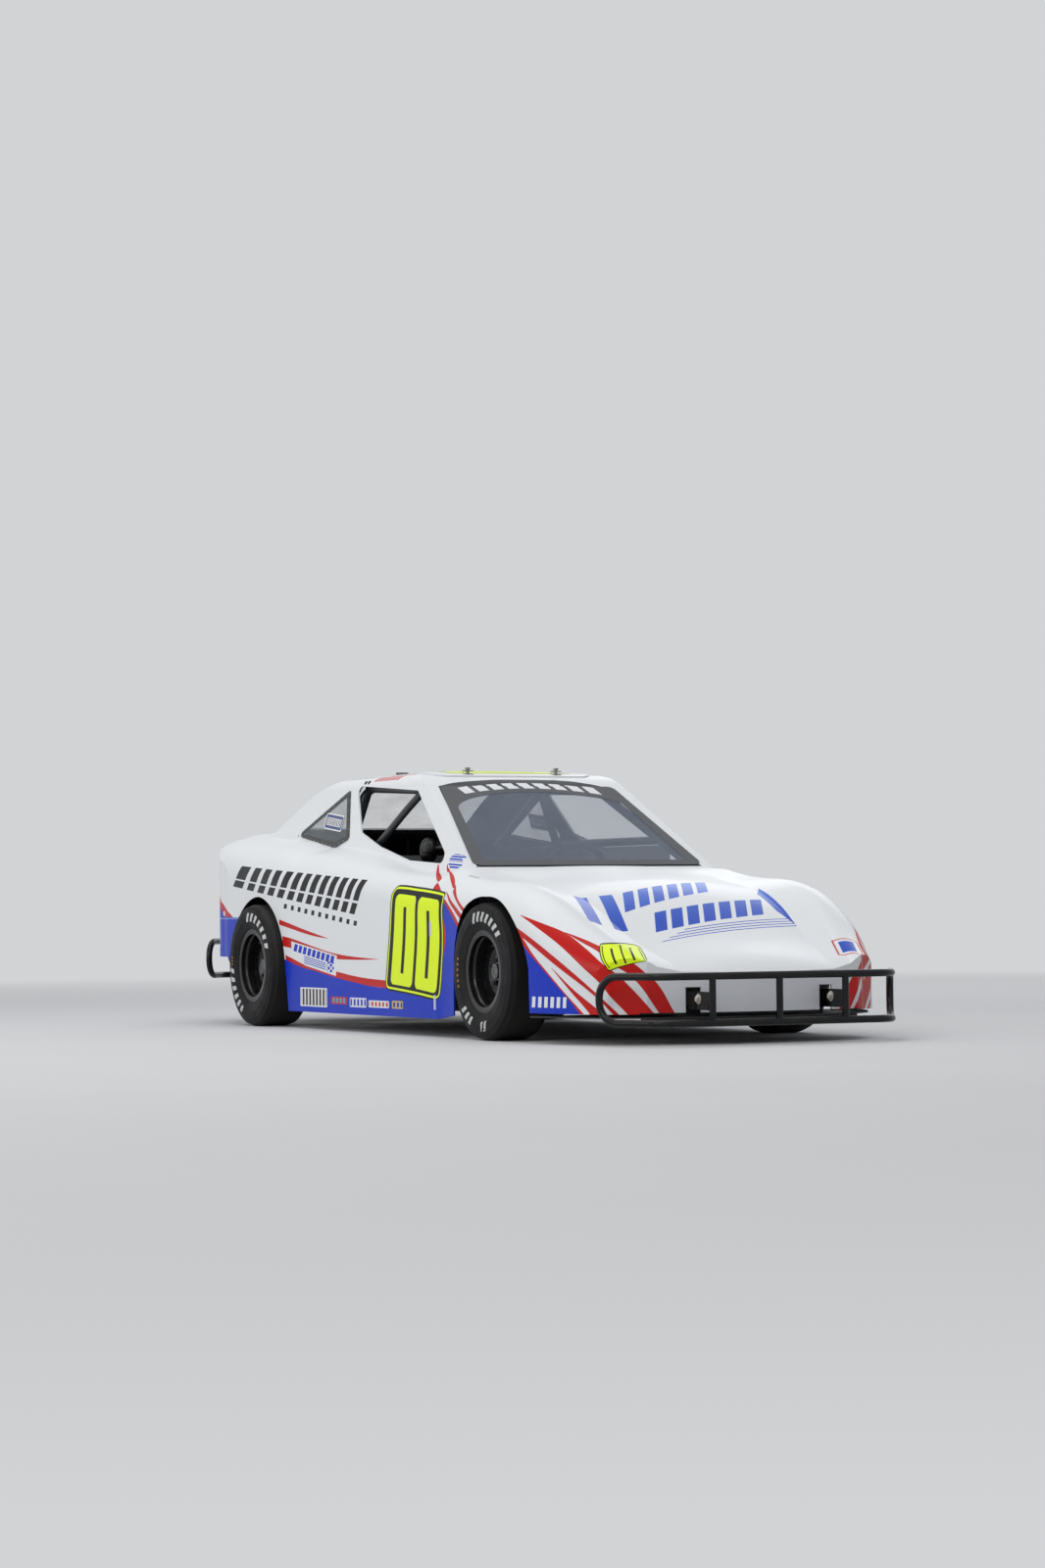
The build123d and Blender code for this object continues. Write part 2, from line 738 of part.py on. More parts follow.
def steering_rack():
    """The rack's housing, clamped to the frame."""
    x = front_axle_x - steer_arm
    z = rack_z
    tube = rod((x, -rack_half, z), (x, rack_half, z), 21)
    tube = tube - rod((x, -rack_half - 5, z), (x, rack_half + 5, z), rack_bar + 0.1)
    box = Pos(x - 18, column_y, z + 4) * Box(54, 62, 50)
    box = box - rod((x, -rack_half - 5, z), (x, rack_half + 5, z), rack_bar + 0.1)
    feet = None
    for y in (-main_rail_y, main_rail_y):
        foot = block(x - 16, x + 16, y - 12, y + 12, rail_z + rail_size / 2, z - 14)
        feet = foot if feet is None else feet + foot
    return tube + box + feet


def rack_bar_part():
    """The sliding rack with its two track rods and their eyes."""
    x = front_axle_x - steer_arm
    z = rack_z
    reach = kingpin_y - 18
    bar = rod((x, -reach, z), (x, reach, z), rack_bar)
    for hand in (1, -1):
        eye = rod((x, hand * kingpin_y, z - 9), (x, hand * kingpin_y, z + 9), 20)
        slot = rod((x, hand * kingpin_y, z - 20), (x, hand * kingpin_y, z + 20), 11.5)
        bar = bar + (eye - slot)
    return bar


def column_axis():
    foot = Vector(front_axle_x - steer_arm - 30, column_y, rack_z + 22)
    head = Vector(wheel_rim_x, column_y, wheel_rim_z)
    return foot, head


def column_hole():
    foot, head = column_axis()
    return rod(foot, head, column_tube + seat_gap)


def steering_column():
    """The column's tube, in its bracket under the dash."""
    foot, head = column_axis()
    way = (head - foot).normalized()
    start = foot + way * 20
    end = head - way * 96
    tube = rod(start, end, column_tube) - rod(foot, head, column_radius + 0.15)
    return tube


def steering_wheel():
    """A three-spoke wheel on its quick-release hub and shaft."""
    foot, head = column_axis()
    way = (head - foot).normalized()
    shaft = rod(foot + way * 24, head - way * 4, column_radius)
    face = Plane(origin=head, x_dir=(0, 1, 0), z_dir=way)
    ring = Torus(wheel_rim_radius, 13)
    centre = Cylinder(34, 8)
    spokes = centre
    for a in (90, 210, 330):
        spokes = spokes + Rot(0, 0, a) * Pos(wheel_rim_radius / 2, 0, 0) * Box(wheel_rim_radius, 26, 4)
    sleeve = Pos(0, 0, -34) * Cylinder(22, 64)
    return shaft + face * (ring + spokes + sleeve)


# Frame


def chassis_frame():
    """The welded frame: main rails, cockpit side rails, crossmembers and front towers."""
    z = rail_z
    half = rail_size / 2
    nose_x = front_axle_x + frame_nose
    tail_x = rear_axle_x - frame_tail
    front_cross = front_axle_x - cockpit_front
    rear_cross = rear_axle_x + cockpit_rear
    whole = None
    for hand in (1, -1):
        low_y = hand * main_rail_y - half
        main = block(tail_x, nose_x, low_y, low_y + rail_size, z - half, z + half)
        y = hand * side_rail_y
        side = block(rear_cross, front_cross, y - half, y + half, z - half, z + half)
        whole = main + side if whole is None else whole + main + side
        for pad_x in (jack_front_x, jack_rear_x):
            pad = block(
                pad_x - jack_pad_half, pad_x + jack_pad_half, low_y, low_y + rail_size,
                z - half - jack_pad_thick, z,
            )
            whole = whole + pad
    crosses = (
        (nose_x - half, bracket_y + 30),
        (front_axle_x + tower_half_x, main_rail_y),
        (front_axle_x - tower_half_x, main_rail_y),
        (front_cross - half, side_rail_y + half),
        (front_axle_x - wheelbase / 2, side_rail_y + half),
        (rear_cross + half, side_rail_y + half),
        (tail_x + half, bracket_y + 30),
    )
    for x, reach in crosses:
        whole = whole + block(x - half, x + half, -reach, reach, z - half, z + half)
    for hand in (1, -1):
        y = hand * tower_y
        rear_x = front_axle_x - tower_half_x
        ahead_x = front_axle_x + tower_half_x
        for x in (rear_x, ahead_x):
            whole = whole + rod((x, y, z), (x, y, tower_z), small_tube + 3)
        for bar_z in (tower_z, high_pivot_z):
            whole = whole + rod((rear_x, y, bar_z), (ahead_x, y, bar_z), small_tube + 3)
    for end in (1, -1):
        x = front_axle_x + end * tower_half_x
        whole = whole + rod((x, -tower_y, tower_z), (x, tower_y, tower_z), small_tube + 3)
    return whole


def leg_run(hand):
    """The straight run of a front leg that follows the windshield pillar."""
    front_x = front_axle_x - cockpit_front - rail_size / 2
    start = Vector(front_x - 20, hand * 480, 545)
    return start, Vector(front_axle_x - halo_back, hand * halo_y, halo_z)


def roll_cage():
    """The safety cage: main hoop, front legs, roof rails, door bars and rear braces."""
    foot_z = rail_z + rail_size / 2 + seat_gap
    hoop_x = rear_axle_x + hoop_ahead
    front_x = front_axle_x - cockpit_front - rail_size / 2
    hoop = bent_bar(
        [
            (hoop_x, -side_rail_y, foot_z),
            (hoop_x, -side_rail_y, 220),
            (hoop_x, -side_rail_y + 20, 520),
            (hoop_x, -hoop_top_y, hoop_z),
            (hoop_x, hoop_top_y, hoop_z),
            (hoop_x, side_rail_y - 20, 520),
            (hoop_x, side_rail_y, 220),
            (hoop_x, side_rail_y, foot_z),
        ],
        [300, 120, 80, 80, 120, 300],
        cage_tube,
    )
    whole = hoop
    halo_x = front_axle_x - halo_back
    for hand in (1, -1):
        leg = bent_bar(
            [
                (front_x, hand * side_rail_y, foot_z),
                (front_x, hand * side_rail_y, 220),
                (front_x - 20, hand * 480, 545),
                (halo_x, hand * halo_y, halo_z),
                (hoop_x, hand * (hoop_top_y - 12), hoop_z - 4),
            ],
            [300, 90, 110],
            cage_tube,
        )
        whole = whole + leg
        for bar_z in (300, 500):
            y = hand * door_bar_y
            whole = whole + rod((hoop_x, y, bar_z), (front_x - 8, y, bar_z), cage_tube)
        brace = bent_bar(
            [
                (rear_axle_x - frame_tail + 30, hand * main_rail_y, foot_z),
                (rear_axle_x - frame_tail + 30, hand * main_rail_y, foot_z + 40),
                (hoop_x, hand * (hoop_top_y - 10), hoop_z - 20),
            ],
            [40],
            cage_tube - 3,
        )
        whole = whole + brace
    whole = whole + rod((halo_x, -halo_y, halo_z), (halo_x, halo_y, halo_z), cage_tube)
    whole = whole + rod((halo_x - 130, -384, 828), (hoop_x, -495, 512), cage_tube - 2)
    whole = whole + rod((hoop_x, 442, 700), (front_axle_x - 655, 432, 700), cage_tube)
    bar_z = shock_top_z + shock_eye + cage_tube - 3 + seat_gap
    whole = whole + rod((shock_x, -345, bar_z), (shock_x, 345, bar_z), cage_tube - 3)
    whole = whole + rod((hoop_x, -500, 420), (hoop_x, 500, 420), cage_tube)
    return whole


def body_posts():
    """Posts that carry the moulded body on the frame and the cage, up to its inner face."""
    tail_x = rear_axle_x - frame_tail + rail_size / 2
    tower_x = front_axle_x - tower_half_x
    deck_z = 900.0
    whole = None
    for hand in (1, -1):
        runs = (
            ((tower_x, hand * tower_y, tower_z), (tower_x, hand * tower_y, deck_z)),
            ((tail_x, hand * bracket_y, rail_z), (tail_x, hand * bracket_y, deck_z)),
            ((post_front_x, hand * door_bar_y, 300), (post_front_x, hand * 700, 300)),
            ((post_rear_x, hand * door_bar_y, 300), (post_rear_x, hand * 700, 300)),
        )
        for start, end in runs:
            post = rod(start, end, small_tube)
            whole = post if whole is None else whole + post
    return whole & lower_body(body_wall + seat_gap)


def rear_arms(hand):
    """A trailing arm and the bearing block that carries the live axle."""
    x = rear_axle_x
    y = hand * bearing_y
    z = tyre_radius
    bearing_block = Pos(x, y, z) * Box(96, 34, 96) + rod((x, y - 24, z), (x, y + 24, z), 40)
    arm = rod((x + 40, y, z - 20), (x + cockpit_rear - 10, y, arm_pivot_z), 14)
    pivot_x = x + cockpit_rear - 10
    pivot = rod((pivot_x, y - 26, arm_pivot_z), (pivot_x, y + 26, arm_pivot_z), 18)
    lug = block(
        x + cockpit_rear - 6, x + cockpit_rear + 20, y - 14, y + 14, rail_z + rail_size / 2, arm_pivot_z
    )
    ear = block(shock_x - 12, shock_x + 12, y - 14, y + 14, z + 40, z + 74)
    whole = bearing_block + arm + pivot + lug + ear
    return whole - rod((x, y - 60, z), (x, y + 60, z), axle_radius + 0.08)


def floor_pan():
    z1 = rail_z - rail_size / 2
    half = side_rail_y + rail_size / 2
    return block(
        rear_axle_x + cockpit_rear, front_axle_x - cockpit_front, -half, half, z1 - floor_thick, z1
    )


def nose_splitter():
    """The flat dark tray under the nose."""
    top_z = rail_z - rail_size / 2 - seat_gap
    tray = Pos(0, 0, top_z - 5) * extrude(plan_face(14), 5)
    zone = block(front_axle_x + 372, front_axle_x + 1000, -800, 800, 60, 130)
    return tray & zone


def bumper(x, low_z, high_z, half, sweep_x, end_y, bars, tube_radius):
    """A closed loop of tube with swept ends and upright bars."""
    loop = closed_loop(x, low_z, high_z, half, sweep_x, end_y, tube_radius)
    for y in bars:
        loop = loop + rod((x, y, low_z), (x, y, high_z), tube_radius - 1)
    return loop


def closed_loop(x, low_z, high_z, half, sweep_x, end_y, tube_radius):
    """One half of the loop, from the middle of its top to the middle of its bottom, and its twin."""
    turn = (high_z - low_z) / 2 - 6
    points = [
        (x, 0, high_z),
        (x, half, high_z),
        (sweep_x, end_y, high_z),
        (sweep_x, end_y, low_z),
        (x, half, low_z),
        (x, 0, low_z),
    ]
    one = bent_bar(points, [90, turn, turn, 90], tube_radius)
    return one + mirrored(one)


def bumper_brackets(x_bar, x_frame, half_thick):
    whole = None
    for hand in (1, -1):
        y = hand * bracket_y
        plate = block(min(x_bar, x_frame), max(x_bar, x_frame), y - half_thick, y + half_thick, 116, 176)
        whole = plate if whole is None else whole + plate
    return whole


def front_bumper():
    x = front_axle_x + front_overhang - bumper_tube
    loop = bumper(x, 76, 228, 430, x - 216, 553, (-bracket_y, 0, bracket_y), bumper_tube)
    return loop + bumper_brackets(x, front_axle_x + frame_nose, 5)


def rear_bumper():
    x = rear_axle_x - rear_overhang + bumper_tube
    loop = bumper(x, 188, 326, 490, x + 110, 585, (-bracket_y, bracket_y), bumper_tube)
    whole = loop
    for hand in (1, -1):
        face_x = rear_axle_x - frame_tail - seat_gap
        whole = whole + rod((x, hand * bracket_y, 200), (face_x - 6, hand * bracket_y, rail_z), small_tube)
        y = hand * bracket_y
        whole = whole + block(face_x - 8, face_x, y - 30, y + 30, rail_z - 19, rail_z + 19)
    return whole


# Cockpit


def seat():
    """A containment seat: a bent shell with side wings round hips, ribs and head."""
    x = seat_x
    y = seat_y
    z = rail_z + rail_size / 2
    shell = [(330, 44), (50, 10), (-45, 24), (-186, 560), (-195, 558), (-55, 14), (50, 0), (332, 36)]
    wing = [
        (322, 32), (330, 120), (120, 150), (10, 190), (-30, 330), (10, 430), (0, 575),
        (-200, 575), (-190, 500), (-66, 10), (48, 0),
    ]
    back = side_plate([(x + dx, z + dz) for dx, dz in shell], 0, y - 203, y + 203)
    outline = [(x + dx, z + dz) for dx, dz in wing]
    return back + side_plate(outline, 10, y - 206, y - 200) + side_plate(outline, 10, y + 200, y + 206)


def seat_pad():
    """The padded head surround and back cushion."""
    x = seat_x
    y = seat_y
    z = rail_z + rail_size / 2
    inner = [(x + 10, z + 470), (x - 25, z + 560), (x - 150, z + 560), (x - 130, z + 470)]
    edge = 200 - seat_gap
    return side_plate(inner, 12, y + 150, y + edge) + side_plate(inner, 12, y - edge, y - 150)


def dash_panel():
    """The dash: a bent sheet across the cage under the windshield."""
    x = front_axle_x - 640
    points = [(x, 420), (x, 530), (x + 200, 545), (x + 200, 541), (x + 4, 526), (x + 4, 420)]
    reach = door_bar_y - cage_tube - seat_gap
    return side_plate(points, 0, -reach, reach) - column_hole()


def firewall():
    x = front_axle_x - cockpit_front - rail_size
    return block(x, x + 4, -455, 455, rail_z + rail_size / 2, 535) - column_hole()


def rear_bulkhead():
    """The sheet between the driver and the engine."""
    x = rear_axle_x + hoop_ahead - cage_tube - 3
    return block(x - 2, x, -455, 455, rail_z + rail_size / 2, 660)


def door_liner():
    """The grey sheet inside the left side."""
    y = 452.0
    return block(rear_axle_x + hoop_ahead + 20, front_axle_x - 640, y, y + 2, rail_z + rail_size / 2, 683)


def engine_block():
    x = rear_axle_x + engine_ahead
    z = rail_z + rail_size / 2
    base = block(x - 150, x + 150, -200, 200, z, z + 230)
    head = block(x - 140, x + 140, -230, 230, z + 100, z + 320)
    shroud = Pos(x, 0, z + 345) * Cylinder(130, 60)
    return base + head + shroud


def fuel_cell():
    z = rail_z + rail_size / 2
    return block(rear_axle_x - 420, rear_axle_x - 150, -185, 185, z, z + 220)


def mirror_pod():
    """A round-backed mirror on the right windshield pillar's foot."""
    x = front_axle_x - 862
    y = -424.0
    z = 676.0
    pod = Pos(x, y, z) * (Rot(0, 90, 0) * (Cylinder(30, 44) + Pos(0, 0, 22) * Sphere(30)))
    start, end = leg_run(-1)
    share = (z - start.Z) / (end.Z - start.Z)
    seat_point = start + (end - start) * share
    arm = rod((x + 20, y, z), seat_point, 7) - rod(start, end, cage_tube + seat_gap)
    return pod + arm


def pedals():
    x = front_axle_x - cockpit_front - rail_size - 60
    z = rail_z + rail_size / 2
    whole = block(x - 14, front_axle_x - cockpit_front - rail_size, seat_y - 100, seat_y + 100, z, z + 4)
    for y in (seat_y - 70, seat_y + 70):
        arm = rod((x, y, z), (x - 20, y, z + 190), 8)
        pad = Pos(x - 26, y, z + 180) * Rot(0, -12, 0) * Box(8, 60, 80)
        whole = whole + arm + pad
    return whole


# Hatch fittings


def hinge_line():
    """The hinge axis's place along the car and above the floor."""
    return behind_front(hatch_front_back + hatch_length) - hinge_back, hinge_z


def skin_patch(roof, low, high, x0, x1, y0, y1):
    """A thin plate that follows the roof, between two heights over its surface."""
    return (Pos(0, 0, high) * roof - Pos(0, 0, low) * roof) & block(x0, x1, y0, y1, 860, 1040)


def hatch_hinges(roof):
    """The fixed leaves, knuckles and pins of the two hatch hinges."""
    x, z = hinge_line()
    whole = None
    for hand in (1, -1):
        y = hand * hinge_y
        leaf = skin_patch(roof, 0.2, 2.6, x - 40, x + 5, y - 24, y + 24)
        for step in (-1, 1):
            centre = y + step * 15.5
            knuckle_ring = rod((x, centre - 8, z), (x, centre + 8, z), hinge_pin_radius + 3)
            foot = block(x - 5, x + 5, centre - 8, centre + 8, z - 9, z)
            leaf = leaf + knuckle_ring + foot
        leaf = leaf + rod((x, y - 26, z), (x, y + 26, z), hinge_pin_radius)
        whole = leaf if whole is None else whole + leaf
    return whole


def hatch_leaves(roof):
    """The moving leaves on the hatch, with their bored knuckles."""
    x, z = hinge_line()
    top = hatch_seat_gap + hatch_thick
    whole = None
    for hand in (1, -1):
        y = hand * hinge_y
        leaf = skin_patch(roof, top + 0.1, top + 2.6, x + hinge_back + 1, x + 48, y - 22, y + 22)
        ring = rod((x, y - 7, z), (x, y + 7, z), hinge_pin_radius + 3)
        bridge = block(x, x + hinge_back + 8, y - 7, y + 7, z - 4, z + 1)
        piece = leaf + bridge + ring - rod((x, y - 40, z), (x, y + 40, z), hinge_pin_radius + hinge_pin_play)
        whole = piece if whole is None else whole + piece
    return whole


def hatch_latches(roof):
    """The two latches at the hatch's front edge: a base, a post and its ring."""
    top = hatch_seat_gap + hatch_thick
    x = behind_front(hatch_front_back) - 34
    whole = None
    for hand in (1, -1):
        y = hand * latch_y
        base = skin_patch(roof, top + 0.1, top + 2.6, x - 20, x + 20, y - 14, y + 14)
        post = rod((x, y, latch_z - 8), (x, y, latch_z + 10), 6)
        head = rod((x, y, latch_z + 6), (x, y, latch_z + 14), 10)
        pin = rod((x + 2, y - 22, latch_z + 2), (x + 2, y + 22, latch_z + 2), 2)
        piece = base + post + head + pin
        whole = piece if whole is None else whole + piece
    return whole


def write(parts):
    """Write each piece to a file of its own."""
    os.makedirs("parts", exist_ok=True)
    for name, shape in parts.items():
        shape.label = name
        export_step(shape, f"parts/{name}.step")


def all_parts():
    parts = body_panels()
    parts.update(wheels())
    parts["rear_axle"] = rear_axle()
    for side, hand in (("left", 1), ("right", -1)):
        parts[f"knuckle_{side}"] = knuckle(hand)
    parts["front_arms"] = front_arms(1) + front_arms(-1)
    parts["rear_arms"] = rear_arms(1) + rear_arms(-1)
    parts["front_coilovers"] = front_coilover(1) + front_coilover(-1)
    parts["rear_coilovers"] = rear_coilover(1) + rear_coilover(-1)
    roof = greenhouse(0)
    parts["hatch_hinges"] = hatch_hinges(roof)
    parts["hatch_fittings"] = hatch_leaves(roof) + hatch_latches(roof)
    parts["steering_housing"] = steering_rack() + steering_column()
    parts["rack_bar"] = rack_bar_part()
    parts["steering_wheel"] = steering_wheel()
    posts = body_posts()
    middle = block(-700, 700, -900, 900, 0, 1100)
    parts["chassis_frame"] = chassis_frame() + (posts - middle)
    parts["roll_cage"] = roll_cage() + (posts & middle)
    parts["floor_pan"] = floor_pan()
    parts["nose_splitter"] = nose_splitter()
    parts["front_bumper"] = front_bumper()
    parts["rear_bumper"] = rear_bumper()
    parts["seat"] = seat()
    parts["seat_pad"] = seat_pad()
    parts["dash_panel"] = dash_panel()
    parts["sheet_panels"] = firewall() + rear_bulkhead() + door_liner()
    parts["engine_block"] = engine_block()
    parts["fuel_cell"] = fuel_cell()
    parts["mirror_pod"] = mirror_pod()
    parts["pedals"] = pedals()
    return parts


if __name__ == "__main__":
    write(all_parts())
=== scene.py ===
import bpy
from math import pi, radians
from mathutils import Matrix, Vector


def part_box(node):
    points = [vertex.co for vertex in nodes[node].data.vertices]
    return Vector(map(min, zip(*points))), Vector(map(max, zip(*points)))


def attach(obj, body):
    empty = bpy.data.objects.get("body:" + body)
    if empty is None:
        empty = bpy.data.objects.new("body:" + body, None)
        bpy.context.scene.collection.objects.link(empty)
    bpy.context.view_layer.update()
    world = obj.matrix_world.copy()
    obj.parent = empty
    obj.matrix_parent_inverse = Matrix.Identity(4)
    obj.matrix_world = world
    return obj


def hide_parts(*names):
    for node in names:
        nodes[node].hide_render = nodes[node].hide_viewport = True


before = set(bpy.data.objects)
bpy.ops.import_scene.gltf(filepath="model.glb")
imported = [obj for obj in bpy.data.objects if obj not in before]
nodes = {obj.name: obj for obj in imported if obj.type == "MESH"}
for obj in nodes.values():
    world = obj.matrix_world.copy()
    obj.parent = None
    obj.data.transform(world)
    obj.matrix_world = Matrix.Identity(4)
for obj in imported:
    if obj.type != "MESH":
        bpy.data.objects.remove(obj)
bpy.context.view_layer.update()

front_axle_x = 0.929
rear_axle_x = -1.103
axle_z = 0.237
even_digits = ((0.08, 0.48), (0.52, 0.92))
side_window = [(0.388, 0.612), (0.013, 0.632), (-0.287, 0.688), (-0.497, 0.745), (-0.652, 0.928), (-0.061, 0.892)]
quarter_outline = [(-1.105, 0.747), (-0.715, 0.895), (-0.619, 0.728), (-0.731, 0.706)]


# Colours


def shade(red, green, blue):
    """A colour from its screen values, 0 to 255, as the shader wants it."""
    linear = []
    for value in (red, green, blue):
        part = value / 255
        linear.append(part / 12.92 if part < 0.04045 else ((part + 0.055) / 1.055) ** 2.4)
    return (*linear, 1.0)


body_white = shade(228, 230, 232)
stripe_red = shade(194, 22, 16)
royal_blue = shade(8, 50, 186)
neon_yellow = shade(228, 252, 28)
ink_black = shade(9, 9, 11)
decal_white = shade(228, 230, 233)
hood_blue = shade(16, 70, 186)
# near black: painted shade for the body's inward faces, and their dark inner return at the windows
painted_shade_black = shade(12, 12, 13)


# Shader building


class Field:
    """An output in a node tree. Arithmetic and comparisons on it add Math nodes to the same tree."""

    def __init__(self, socket):
        self.socket = socket
        self.tree = socket.id_data

    def __add__(self, other):
        return calc("ADD", self, other)

    def __sub__(self, other):
        return calc("SUBTRACT", self, other)

    def __rsub__(self, other):
        return calc("SUBTRACT", other, self)

    def __mul__(self, other):
        return calc("MULTIPLY", self, other)

    def __truediv__(self, other):
        return calc("DIVIDE", self, other)

    def __pow__(self, other):
        return calc("POWER", self, other)

    def __gt__(self, other):
        return calc("GREATER_THAN", self, other)

    def __lt__(self, other):
        return calc("LESS_THAN", self, other)

    def __abs__(self):
        return calc("ABSOLUTE", self)


def feed(socket, value):
    """Sets a socket, or links a field to it."""
    if isinstance(value, Field):
        value.tree.links.new(value.socket, socket)
    else:
        socket.default_value = value


def added(kind, values, inputs, operation=None):
    """A node in the tree of the first field among the values, with its inputs fed by name or place."""
    tree = next(value.tree for value in values if isinstance(value, Field))
    node = tree.nodes.new("ShaderNode" + kind)
    if operation:
        node.operation = operation
    for label, value in zip(inputs, values):
        feed(node.inputs[label], value)
    return node


def calc(operation, *values):
    return Field(added("Math", values, (0, 1, 2), operation).outputs[0])


def vector_step(operation, result, *values):
    return Field(added("VectorMath", values, (0, 1), operation).outputs[result])


def larger(*values):
    return calc("MAXIMUM", *values)


def smaller(*values):
    return calc("MINIMUM", *values)


def fraction(value):
    return calc("FRACT", value)


def both(*masks):
    """1 where all the masks are 1."""
    found = masks[0]
    for mask in masks[1:]:
        found = found * mask
    return found


def between(value, low, high):
    return both(value > low, value < high)


def mixed(base, colour, *masks):
    """One colour laid over another where all the masks are 1."""
    mask = both(*masks)
    node = mask.tree.nodes.new("ShaderNodeMix")
    node.data_type = "RGBA"
    for label, value in (("Factor", mask), ("A", base), ("B", colour)):
        feed(node.inputs[label], value)
    return Field(node.outputs["Result"])


def spread(value, low, high, out_low=0.0, out_high=1.0):
    labels = ("Value", "From Min", "From Max", "To Min", "To Max")
    return Field(added("MapRange", (value, low, high, out_low, out_high), labels).outputs[0])


def noise(position, scale, detail=3.0, roughness=0.5):
    labels = ("Vector", "Scale", "Detail", "Roughness")
    return Field(added("TexNoise", (position, scale, detail, roughness), labels).outputs["Fac"])


def stretched(position, scale):
    """The position with each direction scaled by itself."""
    return vector_step("MULTIPLY", 0, position, scale)


def apart(position):
    return [Field(output) for output in added("SeparateXYZ", (position,), (0,)).outputs]


def new_group(name, inputs, outputs):
    """A node group with named sockets: its tree, its inputs as fields, and its output node."""
    tree = bpy.data.node_groups.new(name, "ShaderNodeTree")
    for label, kind, value in inputs:
        socket = tree.interface.new_socket(label, in_out="INPUT", socket_type=kind)
        if value is not None:
            socket.default_value = value
    for label, kind in outputs:
        tree.interface.new_socket(label, in_out="OUTPUT", socket_type=kind)
    source = tree.nodes.new("NodeGroupInput")
    return tree, {label: Field(source.outputs[label]) for label, _, _ in inputs}, tree.nodes.new("NodeGroupOutput")


def placed(group, **values):
    """The outputs of a group placed in a tree, with underscores in the inputs' names read as spaces."""
    tree = next(value.tree for value in values.values() if isinstance(value, Field))
    node = tree.nodes.new("ShaderNodeGroup")
    node.node_tree = group
    for label, value in values.items():
        feed(node.inputs[label.replace("_", " ")], value)
    return {output.name: Field(output) for output in node.outputs}


NUMBER = "NodeSocketFloat"
VECTOR = "NodeSocketVector"
COLOUR = "NodeSocketColor"


def make_dust_group():
    """A film of dust, thicker near the floor and broken by streaks."""
    inputs = [("Position", VECTOR, None), ("Low", NUMBER, 0.05), ("High", NUMBER, 0.3), ("Amount", NUMBER, 0.4)]
    tree, source, result = new_group("dust film", inputs, [("Film", NUMBER)])
    position = source["Position"]
    height = apart(position)[2]
    fall = spread(height, source["Low"], source["High"], 1.0, 0.0)
    cloud = noise(position, 9.0, 5.0, 0.6)
    streak = noise(stretched(position, (3.0, 3.0, 28.0)), 6.0, 3.0, 0.6)
    cloud = spread(cloud, 0.35, 0.7)
    streak = spread(streak, 0.4, 0.75, 0.4, 1.0)
    film = fall * cloud * streak
    feed(result.inputs[0], film * source["Amount"])
    return tree


def make_grain_group():
    """Fine and coarse grain, as a height for bump and a small change of shine."""
    inputs = [("Position", VECTOR, None), ("Fine", NUMBER, 400.0), ("Coarse", NUMBER, 12.0)]
    tree, source, result = new_group("grain", inputs, [("Height", NUMBER), ("Change", NUMBER)])
    fine = noise(source["Position"], source["Fine"], 2.0, 0.5)
    coarse = noise(source["Position"], source["Coarse"], 4.0, 0.55)
    feed(result.inputs["Height"], coarse * 0.6 + fine)
    feed(result.inputs["Change"], spread(coarse, 0.3, 0.7, -1.0, 1.0))
    return tree


def make_scuff_group():
    """Long thin scratches and rubbed patches."""
    inputs = [("Position", VECTOR, None), ("Stretch", VECTOR, (4.0, 60.0, 60.0)), ("Amount", NUMBER, 0.3)]
    tree, source, result = new_group("scuffs", inputs, [("Mask", NUMBER)])
    run = noise(stretched(source["Position"], source["Stretch"]), 5.0, 4.0, 0.7)
    patch = noise(source["Position"], 7.0, 2.0, 0.5)
    lines = spread(run, 0.62, 0.7)
    patches = spread(patch, 0.45, 0.65)
    feed(result.inputs[0], lines * patches * source["Amount"])
    return tree


def make_rounded_box_group():
    """How far a place lies inside a box with rounded corners: 0 at its edge, and less than 0 outside."""
    inputs = [
        ("Across", NUMBER, 0.0), ("Up", NUMBER, 0.0), ("Centre Across", NUMBER, 0.0), ("Centre Up", NUMBER, 0.0),
        ("Half Width", NUMBER, 0.1), ("Half Height", NUMBER, 0.1), ("Corner", NUMBER, 0.01),
    ]
    tree, source, result = new_group("rounded box", inputs, [("Inside", NUMBER)])
    sides = []
    for place, centre, half in (("Across", "Centre Across", "Half Width"), ("Up", "Centre Up", "Half Height")):
        sides.append(abs(source[place] - source[centre]) - source[half] + source["Corner"])
    beyond = [larger(side, 0.0) for side in sides]
    round_part = calc("SQRT", calc("ADD", *[side * side for side in beyond]))
    flat_part = smaller(larger(*sides), 0.0)
    feed(result.inputs[0], source["Corner"] - (round_part + flat_part))
    return tree


def make_wheel_group():
    """Distance from a wheel's axle, and the angle round it in turns, 0 at the top."""
    inputs = [("Position", VECTOR, None), ("Axle X", NUMBER, 0.0), ("Axle Z", NUMBER, axle_z)]
    tree, source, result = new_group("round the axle", inputs, [("Radius", NUMBER), ("Turn", NUMBER)])
    x, y, z = apart(source["Position"])
    along = x - source["Axle X"]
    up = z - source["Axle Z"]
    square = along * along + up * up
    feed(result.inputs["Radius"], calc("SQRT", square))
    feed(result.inputs["Turn"], calc("ARCTAN2", along, up) / (2 * pi))
    return tree


dust_film = make_dust_group()
grain = make_grain_group()
scuffs = make_scuff_group()
rounded_box = make_rounded_box_group()
round_axle = make_wheel_group()


